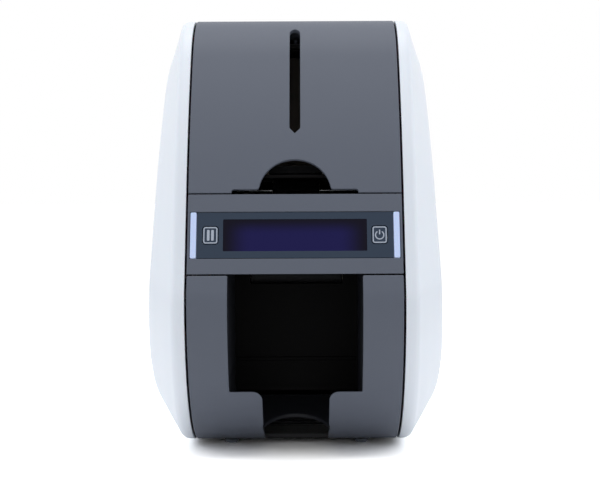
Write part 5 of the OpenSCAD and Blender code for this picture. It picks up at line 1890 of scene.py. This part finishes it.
@dataclass
class Studio:
    """A white floor without an edge, soft light from above and both sides, and the camera.

    Places and sizes are in metres here, and angles in degrees.

    Attributes:
        camera_at: place of the camera.
        lens: its focal length, in millimetres.
        sensor: width of its sensor, in millimetres.
        pitch: how far it looks up from level.
        yaw: how far it is turned to the left.
        roll: how far it is turned about its line of sight.
        floor: how white the paper is to the light that it throws back, and to the camera.
        floor_reach: how far the paper goes each way.
        shine: share of the way from the one to the other that a reflection sees.
        sky: strength of the light from all round.
        lamp_aim_z: height that the soft lights face.
        lamps: name, place, size and power of each soft light.
    """

    camera_at: Point3 = (0.0065, -0.937, 0.151)
    lens: float = 80.3
    sensor: float = 36.0
    pitch: float = -1.7
    yaw: float = 0.275
    roll: float = -0.25
    floor: Point2 = (1.0, 2.35)
    floor_reach: float = 60.0
    shine: float = 0.2
    sky: float = 0.46
    lamp_aim_z: float = 0.12
    lamps: tuple[tuple[str, Point3, Point2, float], ...] = (
        ("softbox above", (0.0, -0.2, 1.3), (1.3, 1.2), 8.6),
        ("left softbox", (-1.1, -0.15, 0.6), (1.0, 1.0), 3.6),
        ("right softbox", (1.1, -0.15, 0.6), (1.0, 1.0), 3.5),
    )

    def build(self) -> None:
        """Builds the studio."""
        self._floor()
        self._world()
        for name, place, size, power in self.lamps:
            self._lamp(name, place, size, power)
        self._camera()
        bpy.context.scene.view_settings.view_transform = "Standard"

    def _floor(self) -> None:
        """Builds the floor: white paper, so bright to the camera that only the shadow shows on it."""
        mesh = bpy.data.meshes.new("studio_floor")
        far = self.floor_reach
        corners = [(-far, -far, 0), (far, -far, 0), (far, far, 0), (-far, far, 0)]
        mesh.from_pydata(corners, [], [(0, 1, 2, 3)])
        floor = bpy.data.objects.new("studio_floor", mesh)
        bpy.context.scene.collection.objects.link(floor)
        made = bpy.data.materials.new("Paper, white backdrop")
        made.use_nodes = True
        tree = made.node_tree
        tree.nodes.clear()
        ray = add_node(tree, "ShaderNodeLightPath").outputs
        mirrored = maths(tree, "MAXIMUM", ray["Is Glossy Ray"], ray["Is Transmission Ray"])
        seen = maths(tree, "MULTIPLY_ADD", mirrored, self.shine, ray["Is Camera Ray"])
        white = add_node(tree, "ShaderNodeMapRange", {
            "Value": seen, "To Min": self.floor[0], "To Max": self.floor[1]})
        paper = add_node(tree, "ShaderNodeBsdfDiffuse", {"Color": white.outputs[0]})
        add_node(tree, "ShaderNodeOutputMaterial", {"Surface": paper.outputs[0]})
        mesh.materials.append(made)
        floor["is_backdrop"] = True

    def _world(self) -> None:
        """Makes the world white to what sees it, and a soft fill to what it lights."""
        world = bpy.data.worlds.new("white studio")
        bpy.context.scene.world = world
        world.use_nodes = True
        tree = world.node_tree
        tree.nodes.clear()
        ray = add_node(tree, "ShaderNodeLightPath").outputs
        direct = maths(tree, "MAXIMUM", ray["Is Camera Ray"], ray["Is Glossy Ray"])
        seen = maths(tree, "MAXIMUM", direct, ray["Is Transmission Ray"])
        dim, bright = (add_node(tree, "ShaderNodeBackground", {
            "Color": (1.0, 1.0, 1.0, 1.0), "Strength": strength}) for strength in (self.sky, 1.0))
        mixed = add_node(tree, "ShaderNodeMixShader", {
            0: seen, 1: dim.outputs[0], 2: bright.outputs[0]})
        add_node(tree, "ShaderNodeOutputWorld", {"Surface": mixed.outputs[0]})

    def _lamp(self, name: str, place: Point3, size: Point2, power: float) -> None:
        """Adds a rectangular soft light that faces the printer."""
        data = bpy.data.lights.new(name, "AREA")
        data.shape = "RECTANGLE"
        data.size, data.size_y = size
        data.energy = power
        lamp = bpy.data.objects.new(name, data)
        lamp.location = place
        toward = Vector((0, 0, self.lamp_aim_z)) - Vector(place)
        lamp.rotation_euler = toward.to_track_quat("-Z", "Y").to_euler()
        bpy.context.scene.collection.objects.link(lamp)

    def _camera(self) -> None:
        """Adds the camera, level with the console and a little turned."""
        data = bpy.data.cameras.new("camera")
        data.lens = self.lens
        data.sensor_width = self.sensor
        camera = bpy.data.objects.new("camera", data)
        yaw = Matrix.Rotation(math.radians(self.yaw), 4, "Z")
        pitch = Matrix.Rotation(math.radians(90 + self.pitch), 4, "X")
        roll = Matrix.Rotation(math.radians(self.roll), 4, "Z")
        camera.matrix_world = Matrix.Translation(self.camera_at) @ yaw @ pitch @ roll
        bpy.context.scene.collection.objects.link(camera)
        bpy.context.scene.camera = camera


# ---------------------------------------------------------------- the whole printer


def main() -> None:
    """Builds and dresses the printer, then the studio round it."""
    logging.basicConfig(level=logging.INFO, format="%(name)s: %(message)s")
    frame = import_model()
    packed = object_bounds()
    low, high = packed
    outline = SideOutline(height=high.z / MM, depth=(high.y - low.y) / MM)
    bench = Bench(frame, outline)
    copies = copies_recipe()
    for group in (SideShells, HopperCover, Covers, Console, Rollers, Ribbon, LatchSpring, InnerParts):
        group(bench).build()
    Fasteners(bench).build(copies)
    Feet(bench).build()
    Studio().build()


if __name__ == "__main__":
    main()
